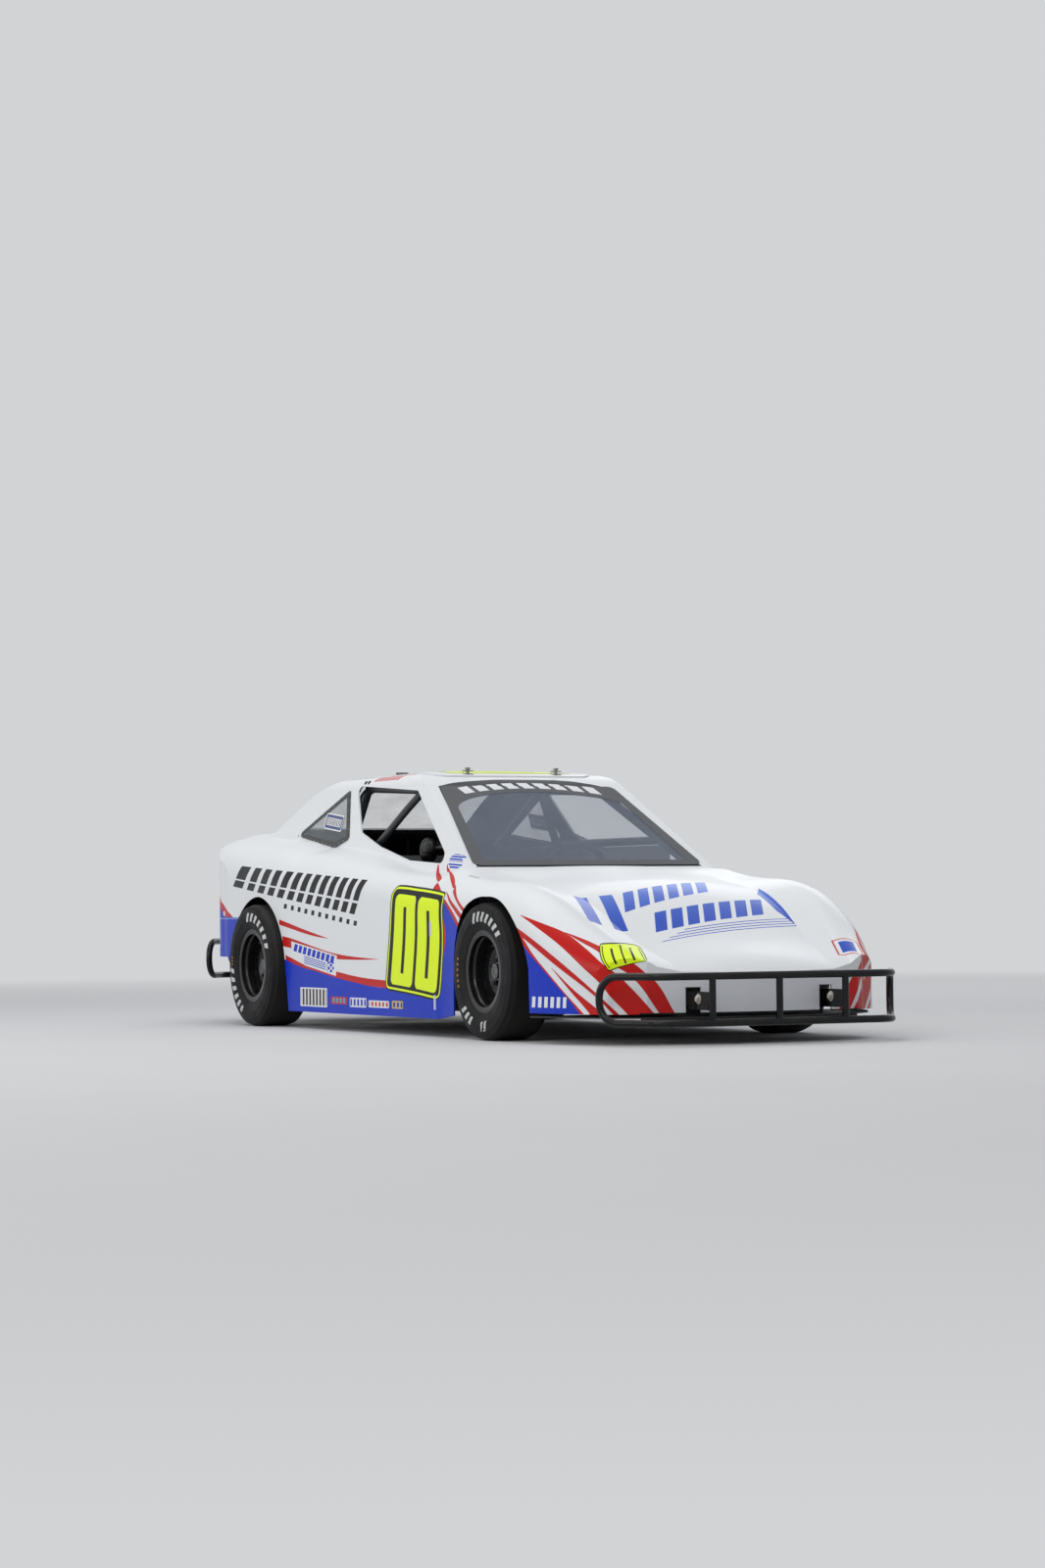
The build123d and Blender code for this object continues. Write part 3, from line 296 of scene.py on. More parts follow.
def edge_line(place, points):
    """The height of a painted edge, drawn through points, at a place along it."""
    points = sorted(points)
    low_x, high_x = points[0][0], points[-1][0]
    heights = [height for _, height in points]
    low, high = min(heights), max(heights) + 1e-6
    node = place.tree.nodes.new("ShaderNodeFloatCurve")
    curve = node.mapping.curves[0]
    shares = [((x - low_x) / (high_x - low_x), (height - low) / (high - low)) for x, height in points]
    curve.points[0].location = shares[0]
    curve.points[1].location = shares[-1]
    for share in shares[1:-1]:
        curve.points.new(*share)
    for point in curve.points:
        point.handle_type = "AUTO_CLAMPED"
    node.mapping.update()
    feed(node.inputs["Value"], spread(place, low_x, high_x))
    return Field(node.outputs[0]) * (high - low) + low


def ribbon(place, height, upper, lower):
    """The stripe between two painted edges."""
    below = edge_line(place, upper) - height
    above = height - edge_line(place, lower)
    return smaller(below, above) > 0.0


def inside_corners(place, height, corners):
    """How far a place lies inside an outline with no inward corner, given clockwise as it is seen."""
    depth = None
    for (x0, z0), (x1, z1) in zip(corners, corners[1:] + corners[:1]):
        run, rise = x1 - x0, z1 - z0
        length = (run * run + rise * rise) ** 0.5
        a, b = rise / length, -run / length
        value = height * b + (place * a - (a * x0 + b * z0))
        depth = value if depth is None else smaller(depth, value)
    return depth


def slanted_bars(place, height, start, end, count, slant, fill, taper=0.0):
    """A row of leaning bars from start to end, whose width shrinks by the taper."""
    leaning = place - height * slant
    share = spread(leaning, start, end)
    turn = fraction(share ** (1.0 + taper) * float(count))
    return both(turn < fill, between(share, 0.0, 1.0))


def boxed(place, height, centre, half, corner):
    """How far a place lies inside a box with rounded corners."""
    return placed(rounded_box, Across=place, Up=height, Centre_Across=centre[0], Centre_Up=centre[1],
                  Half_Width=half[0], Half_Height=half[1], Corner=corner)["Inside"]


def striped(colour, place, height, stripes, *masks):
    """Red stripes, each between an upper and a lower edge, cut off where the upper edge ends."""
    for upper, lower in stripes:
        ends = between(place, min(upper)[0], max(upper)[0])
        colour = mixed(colour, stripe_red, ribbon(place, height, upper, lower), ends, *masks)
    return colour


def panel_shares(across, up, left, right, low, high):
    """The shares across and up a panel whose four edges are drawn through points."""
    left, right = edge_line(up, left), edge_line(up, right)
    low, high = edge_line(across, low), edge_line(across, high)
    return (across - left) / (right - left), (up - low) / (high - low)


def race_number(colour, wide, high, size, digits, line):
    """Two tall plain zeros in neon on a black panel with a neon line, in the panel's own shares."""
    width, height = size
    across = wide * width
    up = high * height
    panel = boxed(across, up, (width / 2, height / 2), (width / 2, height / 2), width * 0.07)
    colour = mixed(colour, ink_black, panel > 0.0)
    colour = mixed(colour, neon_yellow, panel > line)
    colour = mixed(colour, ink_black, panel > line * 2.2)
    for low, high_share in digits:
        centre = ((low + high_share) / 2 * width, height * 0.49)
        half = ((high_share - low) / 2 * width, height * 0.425)
        figure = boxed(across, up, centre, half, width * 0.05)
        colour = mixed(colour, neon_yellow, figure > 0.0)
        slit = boxed(across, up, centre, (width * 0.027, height * 0.31), width * 0.008)
        colour = mixed(colour, ink_black, slit > 0.0)
    return colour


def paint_side(position, colour):
    """The painted side of the car, read along and above the floor, the same on both sides."""
    x, y, z = apart(position)
    flank = abs(y) > 0.47

    # blue along the rocker, rising ahead of the number; two red stripes end on its edge
    low_run = [(-0.678, 0.234), (-0.551, 0.221), (-0.426, 0.207), (-0.304, 0.194), (-0.153, 0.181), (-0.034, 0.172)]
    high_run = [(0.593, 0.476), (0.638, 0.449), (0.684, 0.417), (0.725, 0.39)]
    blue_top = [(-0.835, 0.262), *low_run, (0.082, 0.168), (0.3, 0.24), (0.5, 0.44), *high_run, (0.8, 0.33)]
    colour = mixed(colour, royal_blue, edge_line(x, blue_top) > z, between(x, -0.9, 0.86), flank)

    stripes = (
        # upper edge, lower edge
        ([(-0.9, 0.417), (-0.818, 0.404), (-0.707, 0.386), (-0.58, 0.367), (-0.425, 0.345)],
         [(-0.9, 0.397), (-0.771, 0.379), (-0.643, 0.362), (-0.533, 0.351), (-0.425, 0.344)]),
        ([(-0.87, 0.353), (-0.803, 0.346), (-0.676, 0.329), (-0.549, 0.311), (-0.394, 0.292), (-0.226, 0.28),
          (-0.091, 0.275), (0.035, 0.271)],
         [(-0.87, 0.314), (-0.781, 0.306), (-0.65, 0.295), (-0.5, 0.281), (-0.348, 0.268), (-0.181, 0.267),
          (0.035, 0.27)]),
        ([(-0.84, 0.282), (-0.817, 0.275), (-0.701, 0.258), (-0.63, 0.248), (-0.349, 0.222), (-0.182, 0.207),
          (-0.063, 0.2), (0.1, 0.195)],
         [(-0.84, 0.262), *low_run, (0.1, 0.167)]),
        ([(0.585, 0.49), (0.607, 0.483), (0.638, 0.466), (0.684, 0.439), (0.736, 0.403), (0.79, 0.36)],
         [(0.585, 0.479), *high_run, (0.79, 0.345)]),
        ([(0.6, 0.514), (0.627, 0.502), (0.658, 0.484), (0.706, 0.462), (0.764, 0.434), (0.82, 0.4)],
         [(0.6, 0.511), (0.616, 0.499), (0.65, 0.472), (0.695, 0.447), (0.749, 0.418), (0.82, 0.375)]),
        ([(0.655, 0.536), (0.685, 0.514), (0.718, 0.49), (0.789, 0.455), (0.83, 0.437)],
         [(0.655, 0.514), (0.685, 0.495), (0.757, 0.454), (0.83, 0.416)]),
    )
    colour = striped(colour, x, z, stripes, z < 0.605, flank)

    # the red stripe from the window's foot and the red leaf over the number cross the fender's top,
    # so they are read by how far out they lie: hind edge, front edge, least and most of that
    over_top = (
        ([(0.49, 0.362), (0.496, 0.366), (0.5, 0.378), (0.558, 0.526), (0.581, 0.583), (0.595, 0.626), (0.61, 0.67)],
         [(0.49, 0.37), (0.495, 0.375), (0.498, 0.396), (0.543, 0.512), (0.572, 0.598), (0.595, 0.654), (0.61, 0.7)],
         0.488, 0.6),
        ([(0.49, 0.28), (0.499, 0.286), (0.542, 0.377), (0.559, 0.413), (0.579, 0.463), (0.5845, 0.482),
          (0.592, 0.478), (0.6, 0.475), (0.606, 0.47)],
         [(0.49, 0.286), (0.499, 0.308), (0.543, 0.411), (0.559, 0.456), (0.576, 0.49), (0.5845, 0.487),
          (0.591, 0.507), (0.599, 0.537), (0.606, 0.56)],
         0.491, 0.604),
    )
    side = abs(y)
    for hind, fore, least, most in over_top:
        colour = mixed(colour, stripe_red, ribbon(side, x, fore, hind), between(side, least, most),
                       between(z, 0.517, 0.612))

    # the red crescent behind the number's front edge
    bulge = edge_line(z, [(0.25, 0.55), (0.265, 0.571), (0.312, 0.596), (0.358, 0.608), (0.398, 0.598),
                          (0.427, 0.575), (0.445, 0.55)])
    colour = mixed(colour, stripe_red, bulge > x, x > 0.45, between(z, 0.25, 0.445), flank)

    # the number panel, in shares of its own curved outline
    left = [(0.13, 0.083), (0.161, 0.089), (0.374, 0.13), (0.481, 0.146), (0.54, 0.165)]
    right = [(0.13, 0.548), (0.157, 0.561), (0.25, 0.579), (0.358, 0.59), (0.44, 0.584), (0.48, 0.592),
             (0.512, 0.618), (0.54, 0.64)]
    low = [(0.08, 0.162), (0.337, 0.145), (0.514, 0.13), (0.62, 0.122)]
    high = [(0.14, 0.541), (0.182, 0.541), (0.363, 0.532), (0.5, 0.522), (0.63, 0.508)]
    wide, tall = panel_shares(x, z, left, right, low, high)
    digits = ((0.095, 0.485), (0.535, 0.925))
    colour = mixed(colour, race_number(colour, wide, tall, (0.462, 0.385), digits, 0.0065), flank)

    # leaning bars on the quarter panel, with a row of small marks under them
    top = 0.557 - x * 0.055
    foot = 0.418 - x * 0.093
    share = (z - foot) / (top - foot)
    bars = slanted_bars(x, share, -1.42, -0.15, 13, 0.09, 0.62, 0.25)
    colour = mixed(colour, ink_black, between(share, 0.0, 1.0), flank, bars, abs(share - 0.36) > 0.035)
    in_row = abs(z - (0.3855 - x * 0.098)) < 0.0095
    marks = slanted_bars(x, z, -1.04, -0.28, 11, 0.4, 0.42)
    colour = mixed(colour, ink_black, in_row, marks, flank)

    # a white block with blue bars over the second stripe
    block_edge = [(-0.785, 0.333), (-0.346, 0.281), (-0.356, 0.205), (-0.64, 0.24), (-0.781, 0.268)]
    block = both(inside_corners(x, z, block_edge) > 0.0, flank)
    colour = mixed(colour, decal_white, block)
    rise = z - (0.204 - x * 0.118)
    bars = slanted_bars(x, rise, -0.765, -0.37, 9, 0.5, 0.7)
    colour = mixed(colour, royal_blue, bars, between(rise, 0.002, 0.031), block)
    ruled = fraction(rise * 130.0) < 0.45
    colour = mixed(colour, hood_blue, ruled, between(rise, -0.032, -0.002), between(x, -0.66, -0.45), block)
    checker = added("TexChecker", (stretched(position, (1.0, 0.0, 2.0)), 46.0), ("Vector", "Scale"))
    colour = mixed(colour, royal_blue, Field(checker.outputs["Fac"]), between(x, -0.44, -0.375),
                   between(z, 0.218, 0.258), block)

    # small plain stickers on the rocker: low x, high x, low z, high z, edge colour, inner colour
    stickers = (
        (-0.7, -0.44, 0.086, 0.158, decal_white, shade(60, 40, 32)),
        (-0.405, -0.256, 0.1, 0.128, shade(190, 40, 50), shade(60, 170, 190)),
        (-0.229, -0.077, 0.092, 0.127, decal_white, royal_blue),
        (-0.058, 0.124, 0.094, 0.12, decal_white, shade(196, 60, 48)),
        (0.15, 0.245, 0.094, 0.122, shade(206, 178, 90), royal_blue),
    )
    for low_x, high_x, low_z, high_z, edge, inner in stickers:
        centre = ((low_x + high_x) / 2, (low_z + high_z) / 2)
        half = ((high_x - low_x) / 2, (high_z - low_z) / 2)
        depth = boxed(x, z, centre, half, 0.006)
        colour = mixed(colour, edge, depth > 0.0, flank)
        colour = mixed(colour, inner, depth > 0.005, fraction(x * 31.0) < 0.55, flank)

    # an oval sticker at the pillar's foot, with two pale lines through it
    oval_edge = [(0.374, 0.637), (0.409, 0.649), (0.45, 0.648), (0.468, 0.638), (0.495, 0.621), (0.492, 0.604),
                 (0.45, 0.594), (0.397, 0.598), (0.374, 0.612)]
    oval = both(inside_corners(x, z, oval_edge) > 0.0, y < -0.4665)
    colour = mixed(colour, hood_blue, oval)
    slope = x * 0.05 + z
    pale = abs(slope - 0.639) < 0.0035
    rows = fraction(slope * 105.0) > 0.66
    colour = mixed(colour, decal_white, larger(pale, rows), oval)

    # tape beside the number
    for centre, half in (((0.514, 0.123), (0.008, 0.026)), ((0.483, 0.383), (0.009, 0.026))):
        colour = mixed(colour, shade(205, 206, 212), boxed(x, z, centre, half, 0.002) > 0.0, flank)
    return colour


def paint_nose(position, colour):
    """The nose's corner stripes, read in a plane square to the corner, and the hood's blue bars."""
    x, y, z = apart(position)
    side = abs(y)
    u = x * 0.4363 - side * 0.8998
    nose = x > 1.0
    colour = mixed(colour, shade(216, 218, 223), x > 1.7, z < 0.238, side < 0.4)

    red_edge = [(-0.06, 0.42), (-0.014, 0.35), (0.017, 0.3), (0.068, 0.236), (0.123, 0.17), (0.15, 0.14),
                (0.19, 0.095)]
    blue_edge = [(-0.06, 0.385), (-0.0125, 0.325), (0.0042, 0.303), (0.052, 0.247), (0.107, 0.182),
                 (0.135, 0.15), (0.172, 0.1)]
    under_red = edge_line(u, red_edge) > z
    under_blue = edge_line(u, blue_edge) > z
    colour = mixed(colour, stripe_red, under_red, nose, u < 0.185)
    colour = mixed(colour, royal_blue, under_blue, nose, u < 0.172)
    stripes = (
        # upper edge, lower edge
        ([(0.078, 0.256), (0.149, 0.184), (0.233, 0.114), (0.245, 0.102)],
         [(0.078, 0.254), (0.135, 0.183), (0.197, 0.11), (0.204, 0.1)]),
        ([(-0.06, 0.405), (-0.035, 0.388), (0.096, 0.284), (0.23, 0.166), (0.3, 0.1)],
         [(-0.06, 0.385), (-0.035, 0.368), (0.087, 0.267), (0.23, 0.152), (0.28, 0.1)]),
        ([(-0.023, 0.431), (0.051, 0.402), (0.124, 0.371), (0.19, 0.32), (0.245, 0.269), (0.296, 0.23),
          (0.325, 0.202), (0.408, 0.11), (0.416, 0.1)],
         [(-0.023, 0.429), (0.033, 0.387), (0.107, 0.328), (0.18, 0.257), (0.24, 0.199), (0.266, 0.165),
          (0.318, 0.11), (0.327, 0.1)]),
        ([(0.124, 0.373), (0.18, 0.352), (0.235, 0.327), (0.342, 0.272), (0.386, 0.237), (0.421, 0.205),
          (0.477, 0.11), (0.483, 0.1)],
         [(0.124, 0.371), (0.18, 0.338), (0.235, 0.305), (0.274, 0.268), (0.325, 0.237), (0.358, 0.206),
          (0.425, 0.11), (0.432, 0.1)]),
    )
    colour = striped(colour, u, z, stripes, nose)

    # white bars on the blue corner
    bars = slanted_bars(u, z, 0.006, 0.128, 6, 0.05, 0.55)
    colour = mixed(colour, decal_white, bars, between(z, 0.122, 0.158), nose, under_blue)

    # the small number on the right cheek and the framed block on the left one
    left = [(0.24, 0.264), (0.318, 0.2355), (0.34, 0.236)]
    right = [(0.24, 0.4), (0.276, 0.393), (0.322, 0.375), (0.34, 0.37)]
    low = [(0.235, 0.236), (0.2626, 0.243), (0.3, 0.256), (0.358, 0.271), (0.4, 0.278)]
    high = [(0.23, 0.33), (0.245, 0.336), (0.29, 0.337), (0.331, 0.334), (0.38, 0.321)]
    wide, tall = panel_shares(u, z, left, right, low, high)
    colour = mixed(colour, race_number(colour, wide, tall, (0.14, 0.075), even_digits, 0.0035), y < 0.0, nose)
    depth = inside_corners(x, y, [(1.553, 0.394), (1.574, 0.486), (1.694, 0.44), (1.662, 0.358)])
    for inset, ink in ((0.0, stripe_red), (0.006, decal_white), (0.02, hood_blue)):
        colour = mixed(colour, ink, depth > inset)

    # leaning blue bars and thin lines over the hood, in two rows that fall to the right
    hood = side < 0.46
    fade = mixed(hood_blue, shade(70, 112, 206), spread(x, 1.4, 1.1))
    first_row = y * 0.36 + x - 1.155
    second_row = y * 0.24 + x - 1.352
    first = both(slanted_bars(y, first_row, -0.235, 0.185, 6, -0.55, 0.7), between(first_row, -0.065, 0.062))
    second = both(slanted_bars(y, second_row, -0.2, 0.3, 7, -0.55, 0.72), between(second_row, -0.062, 0.05))
    lead = both(slanted_bars(y, x - 1.3, -0.43, -0.235, 2, -0.28, 0.52), between(x, 1.17, 1.43))
    third_row = y * 0.2 + x - 1.44
    lines = fraction(third_row * 62.0) < 0.3
    lines = both(lines, between(third_row, -0.016, 0.048), y < 0.345, third_row * 2.6 + y > -0.15)
    accent = inside_corners(x, y, [(1.075, 0.385), (1.3, 0.36), (1.4, 0.345), (1.3, 0.325), (1.15, 0.335)])
    for mask in (first, second, lead, lines, accent > 0.0):
        colour = mixed(colour, fade, mask, hood, nose)

    # a small dark signature stroke on the fender's top
    stroke = slanted_bars(x, y, 0.885, 0.965, 5, 0.4, 0.35)
    colour = mixed(colour, ink_black, stroke, between(side, 0.538, 0.55), z > 0.5)
    return mixed(colour, ink_black, z < 0.107, x > 1.3, side < 0.42)


def make_screen_film_group():
    """The dark film round the windshield: its colour, with the clear part's smoky tint and painted milky reflection,
    and where the sheet is left clear.
    """
    tree, source, result = new_group(
        "screen film", [("Position", VECTOR, None)], [("Colour", COLOUR), ("Clear", NUMBER), ("Film", NUMBER)]
    )
    x, y, z = apart(source["Position"])
    band = edge_line(y, [(-0.42, 0.24), (-0.345, 0.143), (-0.294, 0.102), (-0.222, 0.074), (-0.133, 0.057),
                         (-0.026, 0.046), (0.074, 0.048), (0.169, 0.062), (0.262, 0.082), (0.33, 0.11), (0.37, 0.14),
                         (0.42, 0.2)])
    crown = edge_line(y, [(-0.4, 0.025), (-0.357, 0.004), (-0.211, -0.034), (-0.041, -0.05), (0.122, -0.048),
                          (0.271, -0.016), (0.332, 0.011), (0.4, 0.05)])
    away = abs(y)
    clear = both(between(x, band, 0.4965), x * 0.178 + 0.322 > away)
    film = both(x * 0.175 + 0.3605 > away, x > crown)
    drop = x - y * y * 0.5
    bars = both(slanted_bars(y, drop, -0.285, 0.3, 9, 0.35, 0.68), between(drop, -0.02, 0.024))
    haze = noise(source["Position"], 5.0, 3.0, 0.6)
    border = mixed(shade(66, 68, 74), shade(54, 56, 62), haze)
    # the clear part's pale blue-grey is the sheet's smoky tint with a painted milky reflection in it
    smoke_and_sheen = mixed(shade(142, 152, 170), shade(108, 118, 136), haze)
    colour = mixed(mixed(border, decal_white, bars), smoke_and_sheen, clear)
    feed(result.inputs["Colour"], colour)
    feed(result.inputs["Clear"], clear)
    feed(result.inputs["Film"], film)
    return tree


def paint_roof(position, colour):
    """The film over the roof's front lip, the roof number and a small mark over the window."""
    x, y, z = apart(position)
    film = placed(screen_film, Position=position)
    colour = mixed(colour, film["Colour"], film["Film"])
    size = (0.48, 0.51)
    wide, tall = (x + 0.14) / -size[0], (y + 0.24) / size[1]
    colour = race_number(colour, wide, tall, size, even_digits, 0.009)
    mark = slanted_bars(x, z - 0.948, -0.5, -0.26, 6, 1.6, 0.62)
    return mixed(colour, stripe_red, mark, y < -0.33, between(x, -0.52, -0.24), between(z, 0.939, 0.963))


def paint_tail(position, colour):
    """The blue tail corner with its red edge."""
    x, y, z = apart(position)
    behind = x < -1.36
    red_edge = [(-1.8, 0.6), (-1.66, 0.53), (-1.578, 0.484), (-1.497, 0.454), (-1.444, 0.434), (-1.38, 0.412)]
    blue_edge = [(-1.8, 0.535), (-1.66, 0.492), (-1.597, 0.459), (-1.529, 0.43), (-1.38, 0.425)]
    under_red = edge_line(x, red_edge) > z
    under_blue = edge_line(x, blue_edge) > z
    colour = mixed(colour, stripe_red, under_red, behind)
    colour = mixed(colour, royal_blue, under_blue, behind)
    colour = mixed(colour, royal_blue, z < 0.421, behind)
    colour = mixed(colour, shade(120, 140, 214), abs(z - 0.421) < 0.003, behind)
    colour = mixed(colour, decal_white, boxed(x, z, (-1.553, 0.441), (0.012, 0.009), 0.001) > 0.0)
    bars = slanted_bars(x, z, -1.75, -1.5, 4, -0.3, 0.5)
    return mixed(colour, decal_white, bars, between(x, -1.72, -1.545), between(z, 0.305, 0.368))


def make_livery(name, painter):
    """A node group that paints one part's stripes and figures over its paint."""
    inputs = [("Position", VECTOR, None), ("Paint", COLOUR, body_white)]
    tree, source, result = new_group(name, inputs, [("Colour", COLOUR)])
    feed(result.inputs[0], painter(source["Position"], source["Paint"]))
    return tree


side_livery = make_livery("side livery", paint_side)
nose_livery = make_livery("nose livery", paint_nose)
tail_livery = make_livery("tail livery", paint_tail)
screen_film = make_screen_film_group()
roof_livery = make_livery("roof livery", paint_roof)


# Materials


def new_material(name):
    """A material with its shader and its object coordinates."""
    material = bpy.data.materials.new(name)
    material.use_nodes = True
    place = material.node_tree.nodes.new("ShaderNodeTexCoord")
    return material, material.node_tree.nodes["Principled BSDF"], Field(place.outputs["Object"])


def dressed(shader, **values):
    """Sets the shader's sockets, with underscores in the names read as spaces."""
    for label, value in values.items():
        feed(shader.inputs[label.replace("_", " ")], value)


def raised(shader, height, strength, distance):
    """A bump from a height, in metres."""
    bump = added("Bump", (strength, distance, height), ("Strength", "Distance", "Height"))
    feed(shader.inputs["Normal"], Field(bump.outputs[0]))


def inward_shade_mask(position, centre, keep):
    """1 on the faces of the body that look inwards, painted near black: painted shade inside the wheel wells and the
    body, and the dark inner return at the window openings.
    """
    normal = Field(position.tree.nodes.new("ShaderNodeTexCoord").outputs["Normal"])
    off = stretched(vector_step("SUBTRACT", 0, position, centre), keep)
    outwards = vector_step("DOT_PRODUCT", "Value", off, normal)
    x, y, z = apart(position)
    lip = both(inside_corners(x, z, side_window) + 0.016 > 0.0, y > 0.3)
    return (outwards < spread(z, 0.56, 0.62, -0.02, -0.25)) * (1.0 - lip)


def body_paint(name, liveries, centre, keep=(1.0, 1.0, 1.0)):
    """Gloss paint over a moulded body, with its stripes, a soft ripple, dust low down and near-black painted shade on
    its inward faces.
    """
    material, shader, position = new_material(name)
    colour = body_white
    for livery in liveries:
        colour = placed(livery, Position=position, Paint=colour)["Colour"]
    film = placed(dust_film, Position=position, Low=0.04, High=0.42, Amount=0.045)["Film"]
    rub = placed(scuffs, Position=position, Stretch=(6.0, 6.0, 70.0), Amount=0.06)["Mask"]
    inner = inward_shade_mask(position, centre, keep)
    # the inward faces get near-black painted shade, laid over the dust and scuffs
    for ink, mask in ((shade(150, 146, 138), film), (shade(170, 170, 172), rub), (painted_shade_black, inner)):
        colour = mixed(colour, ink, mask)
    texture = placed(grain, Position=position, Fine=160.0, Coarse=7.0)
    dressed(shader, Base_Color=colour, Roughness=texture["Change"] * 0.03 + 0.36 + film * 0.5 + inner * 0.4,
            Coat_Weight=0.1 - inner * 0.1, Coat_Roughness=0.06, Specular_IOR_Level=0.15)
    raised(shader, texture["Height"], 0.25, 0.0006)
    return material


def plain(name, colour, second, rough, metallic=0.0, fine=300.0, coarse=14.0, bump=0.0004, dust=0.25, coat=0.0,
          scratch=(5.0, 5.0, 70.0), scratched=0.2, shine=0.5):
    """A worked surface: two close colours, grain, dust low down and light scratches."""
    material, shader, position = new_material(name)
    texture = placed(grain, Position=position, Fine=fine, Coarse=coarse)
    film = placed(dust_film, Position=position, Low=0.0, High=0.6, Amount=dust)["Film"]
    marks = placed(scuffs, Position=position, Stretch=scratch, Amount=scratched)["Mask"]
    base = mixed(shade(*colour), shade(*second), spread(texture["Change"], -1.0, 1.0))
    base = mixed(mixed(base, shade(128, 122, 112), film), shade(150, 150, 152), marks)
    dressed(shader, Base_Color=base, Roughness=texture["Change"] * 0.06 + rough + film * 0.4, Metallic=metallic,
            Specular_IOR_Level=shine, Coat_Weight=coat, Coat_Roughness=0.12)
    raised(shader, texture["Height"], 0.4, bump)
    return material


def tyre_rubber(name, axle_x, arcs, gold):
    """A slick tyre: dull rubber, moulded rings on its wall, and plain white dashes in two arcs."""
    material, shader, position = new_material(name)
    polar = placed(round_axle, Position=position, Axle_X=axle_x, Axle_Z=axle_z)
    radius, turn = polar["Radius"], polar["Turn"]
    texture = placed(grain, Position=position, Fine=260.0, Coarse=18.0)
    film = placed(dust_film, Position=position, Low=-0.1, High=0.45, Amount=0.06)["Film"]
    base = mixed(shade(17, 17, 19), shade(11, 11, 13), spread(texture["Change"], -1.0, 1.0))
    base = mixed(base, shade(44, 42, 40), spread(radius, 0.228, 0.2365) * 0.7)
    base = mixed(base, shade(96, 92, 86), film)
    ragged = noise(position, 60.0, 3.0, 0.6) > 0.36
    for start, end, count in arcs:
        dashes = both(slanted_bars(turn, radius, start, end, count, 0.35, 0.5), between(radius, 0.172, 0.206), ragged)
        base = mixed(base, shade(214, 214, 212), dashes * 0.85)
    for start, end, count in gold:
        dashes = both(slanted_bars(turn, radius, start, end, count, 0.0, 0.45), between(radius, 0.178, 0.192))
        base = mixed(base, shade(178, 128, 74), dashes * 0.7)
    dressed(shader, Base_Color=base, Roughness=texture["Change"] * 0.08 + 0.55, Specular_IOR_Level=0.18)
    rings = both(calc("SINE", radius * 900.0), between(radius, 0.146, 0.168))
    raised(shader, rings * 0.8 + texture["Height"], 0.5, 0.0008)
    return material


def smoky_sheet(name):
    """The windshield: smoky clear sheet whose pale tint carries a painted milky reflection, with a dark film round it.
    """
    material, shader, position = new_material(name)
    film = placed(screen_film, Position=position)
    marks = placed(scuffs, Position=position, Stretch=(30.0, 6.0, 9.0), Amount=0.12)["Mask"]
    dressed(shader, Base_Color=film["Colour"], Alpha=larger(1.0 - film["Clear"] * 0.66, marks), Roughness=0.1,
            IOR=1.5, Coat_Weight=0.3)
    raised(shader, noise(position, 3.0, 1.0, 0.4), 0.2, 0.004)
    return material


def clear_sheet(name, cloudy, outline=None):
    """Clear window sheet with fine scratches; a side pane has its dark frame and a plain sticker."""
    material, shader, position = new_material(name)
    marks = placed(scuffs, Position=position, Stretch=(40.0, 8.0, 9.0), Amount=cloudy * 2)["Mask"]
    cover = spread(noise(position, 8.0, 4.0, 0.6), 0.3, 0.8, cloudy, cloudy + 0.14) + marks
    colour = mixed(shade(140, 150, 154), shade(196, 200, 202), marks)
    if outline:
        x, y, z = apart(position)
        rim = inside_corners(x, z, outline) < 0.007
        sticker = boxed(x, x * 0.1 + z, (-0.785, 0.713), (0.088, 0.031), 0.004)
        for inset, ink in ((0.0, decal_white), (0.005, shade(40, 58, 120)), (0.016, decal_white)):
            colour = mixed(colour, ink, sticker > inset)
        colour = mixed(colour, ink_black, fraction(x * 66.0) < 0.45, sticker > 0.018)
        colour = mixed(colour, ink_black, rim)
        cover = larger(cover, larger(rim, sticker > 0.0))
    dressed(shader, Base_Color=colour, Alpha=cover, Roughness=0.1, IOR=1.5)
    raised(shader, noise(position, 4.0, 1.0, 0.4), 0.2, 0.004)
    return material


def woven_cloth(name, colour, second, pitch=0.0016):
    """Cloth of two crossing sets of threads, with a soft sheen."""
    material, shader, position = new_material(name)
    x, y, z = apart(position)
    turn = 2 * pi / pitch
    weave = calc("SINE", (x + z) * turn) * calc("SINE", (y - z) * turn)
    texture = placed(grain, Position=position, Fine=500.0, Coarse=16.0)
    base = mixed(shade(*colour), shade(*second), spread(weave + texture["Change"], -1.6, 1.6))
    dressed(shader, Base_Color=base, Roughness=0.85, Sheen_Weight=0.3)
    raised(shader, weave, 0.5, 0.0003)
    return material


finishes = {
    "nose paint": body_paint("nose paint", [side_livery, nose_livery], (1.2, 0.0, 0.2)),
    "side paint": body_paint("side paint", [side_livery], (0.0, 0.0, 0.33), (0.0, 1.0, 1.0)),
    "tail paint": body_paint("tail paint", [side_livery, tail_livery], (-1.2, 0.0, 0.3)),
    "roof paint": body_paint("roof paint", [side_livery, roof_livery], (-0.4, 0.0, 0.6)),
    "smoky windshield": smoky_sheet("smoky windshield"),
    "clear window": clear_sheet("clear window", 0.06),
    "side pane": clear_sheet("side pane", 0.2, quarter_outline),
    "front tyre": tyre_rubber("front tyre", front_axle_x, ((-0.115, 0.085, 7), (0.4, 0.5, 4), (-0.5, -0.42, 3)),
                              ((-0.3, -0.2, 6),)),
    "rear tyre": tyre_rubber("rear tyre", rear_axle_x, ((-0.09, 0.14, 7), (0.45, 0.5, 2), (-0.5, -0.31, 6)),
                             ((-0.25, -0.215, 3),)),
    "black cloth": woven_cloth("black cloth", (20, 20, 22), (32, 32, 35)),
}
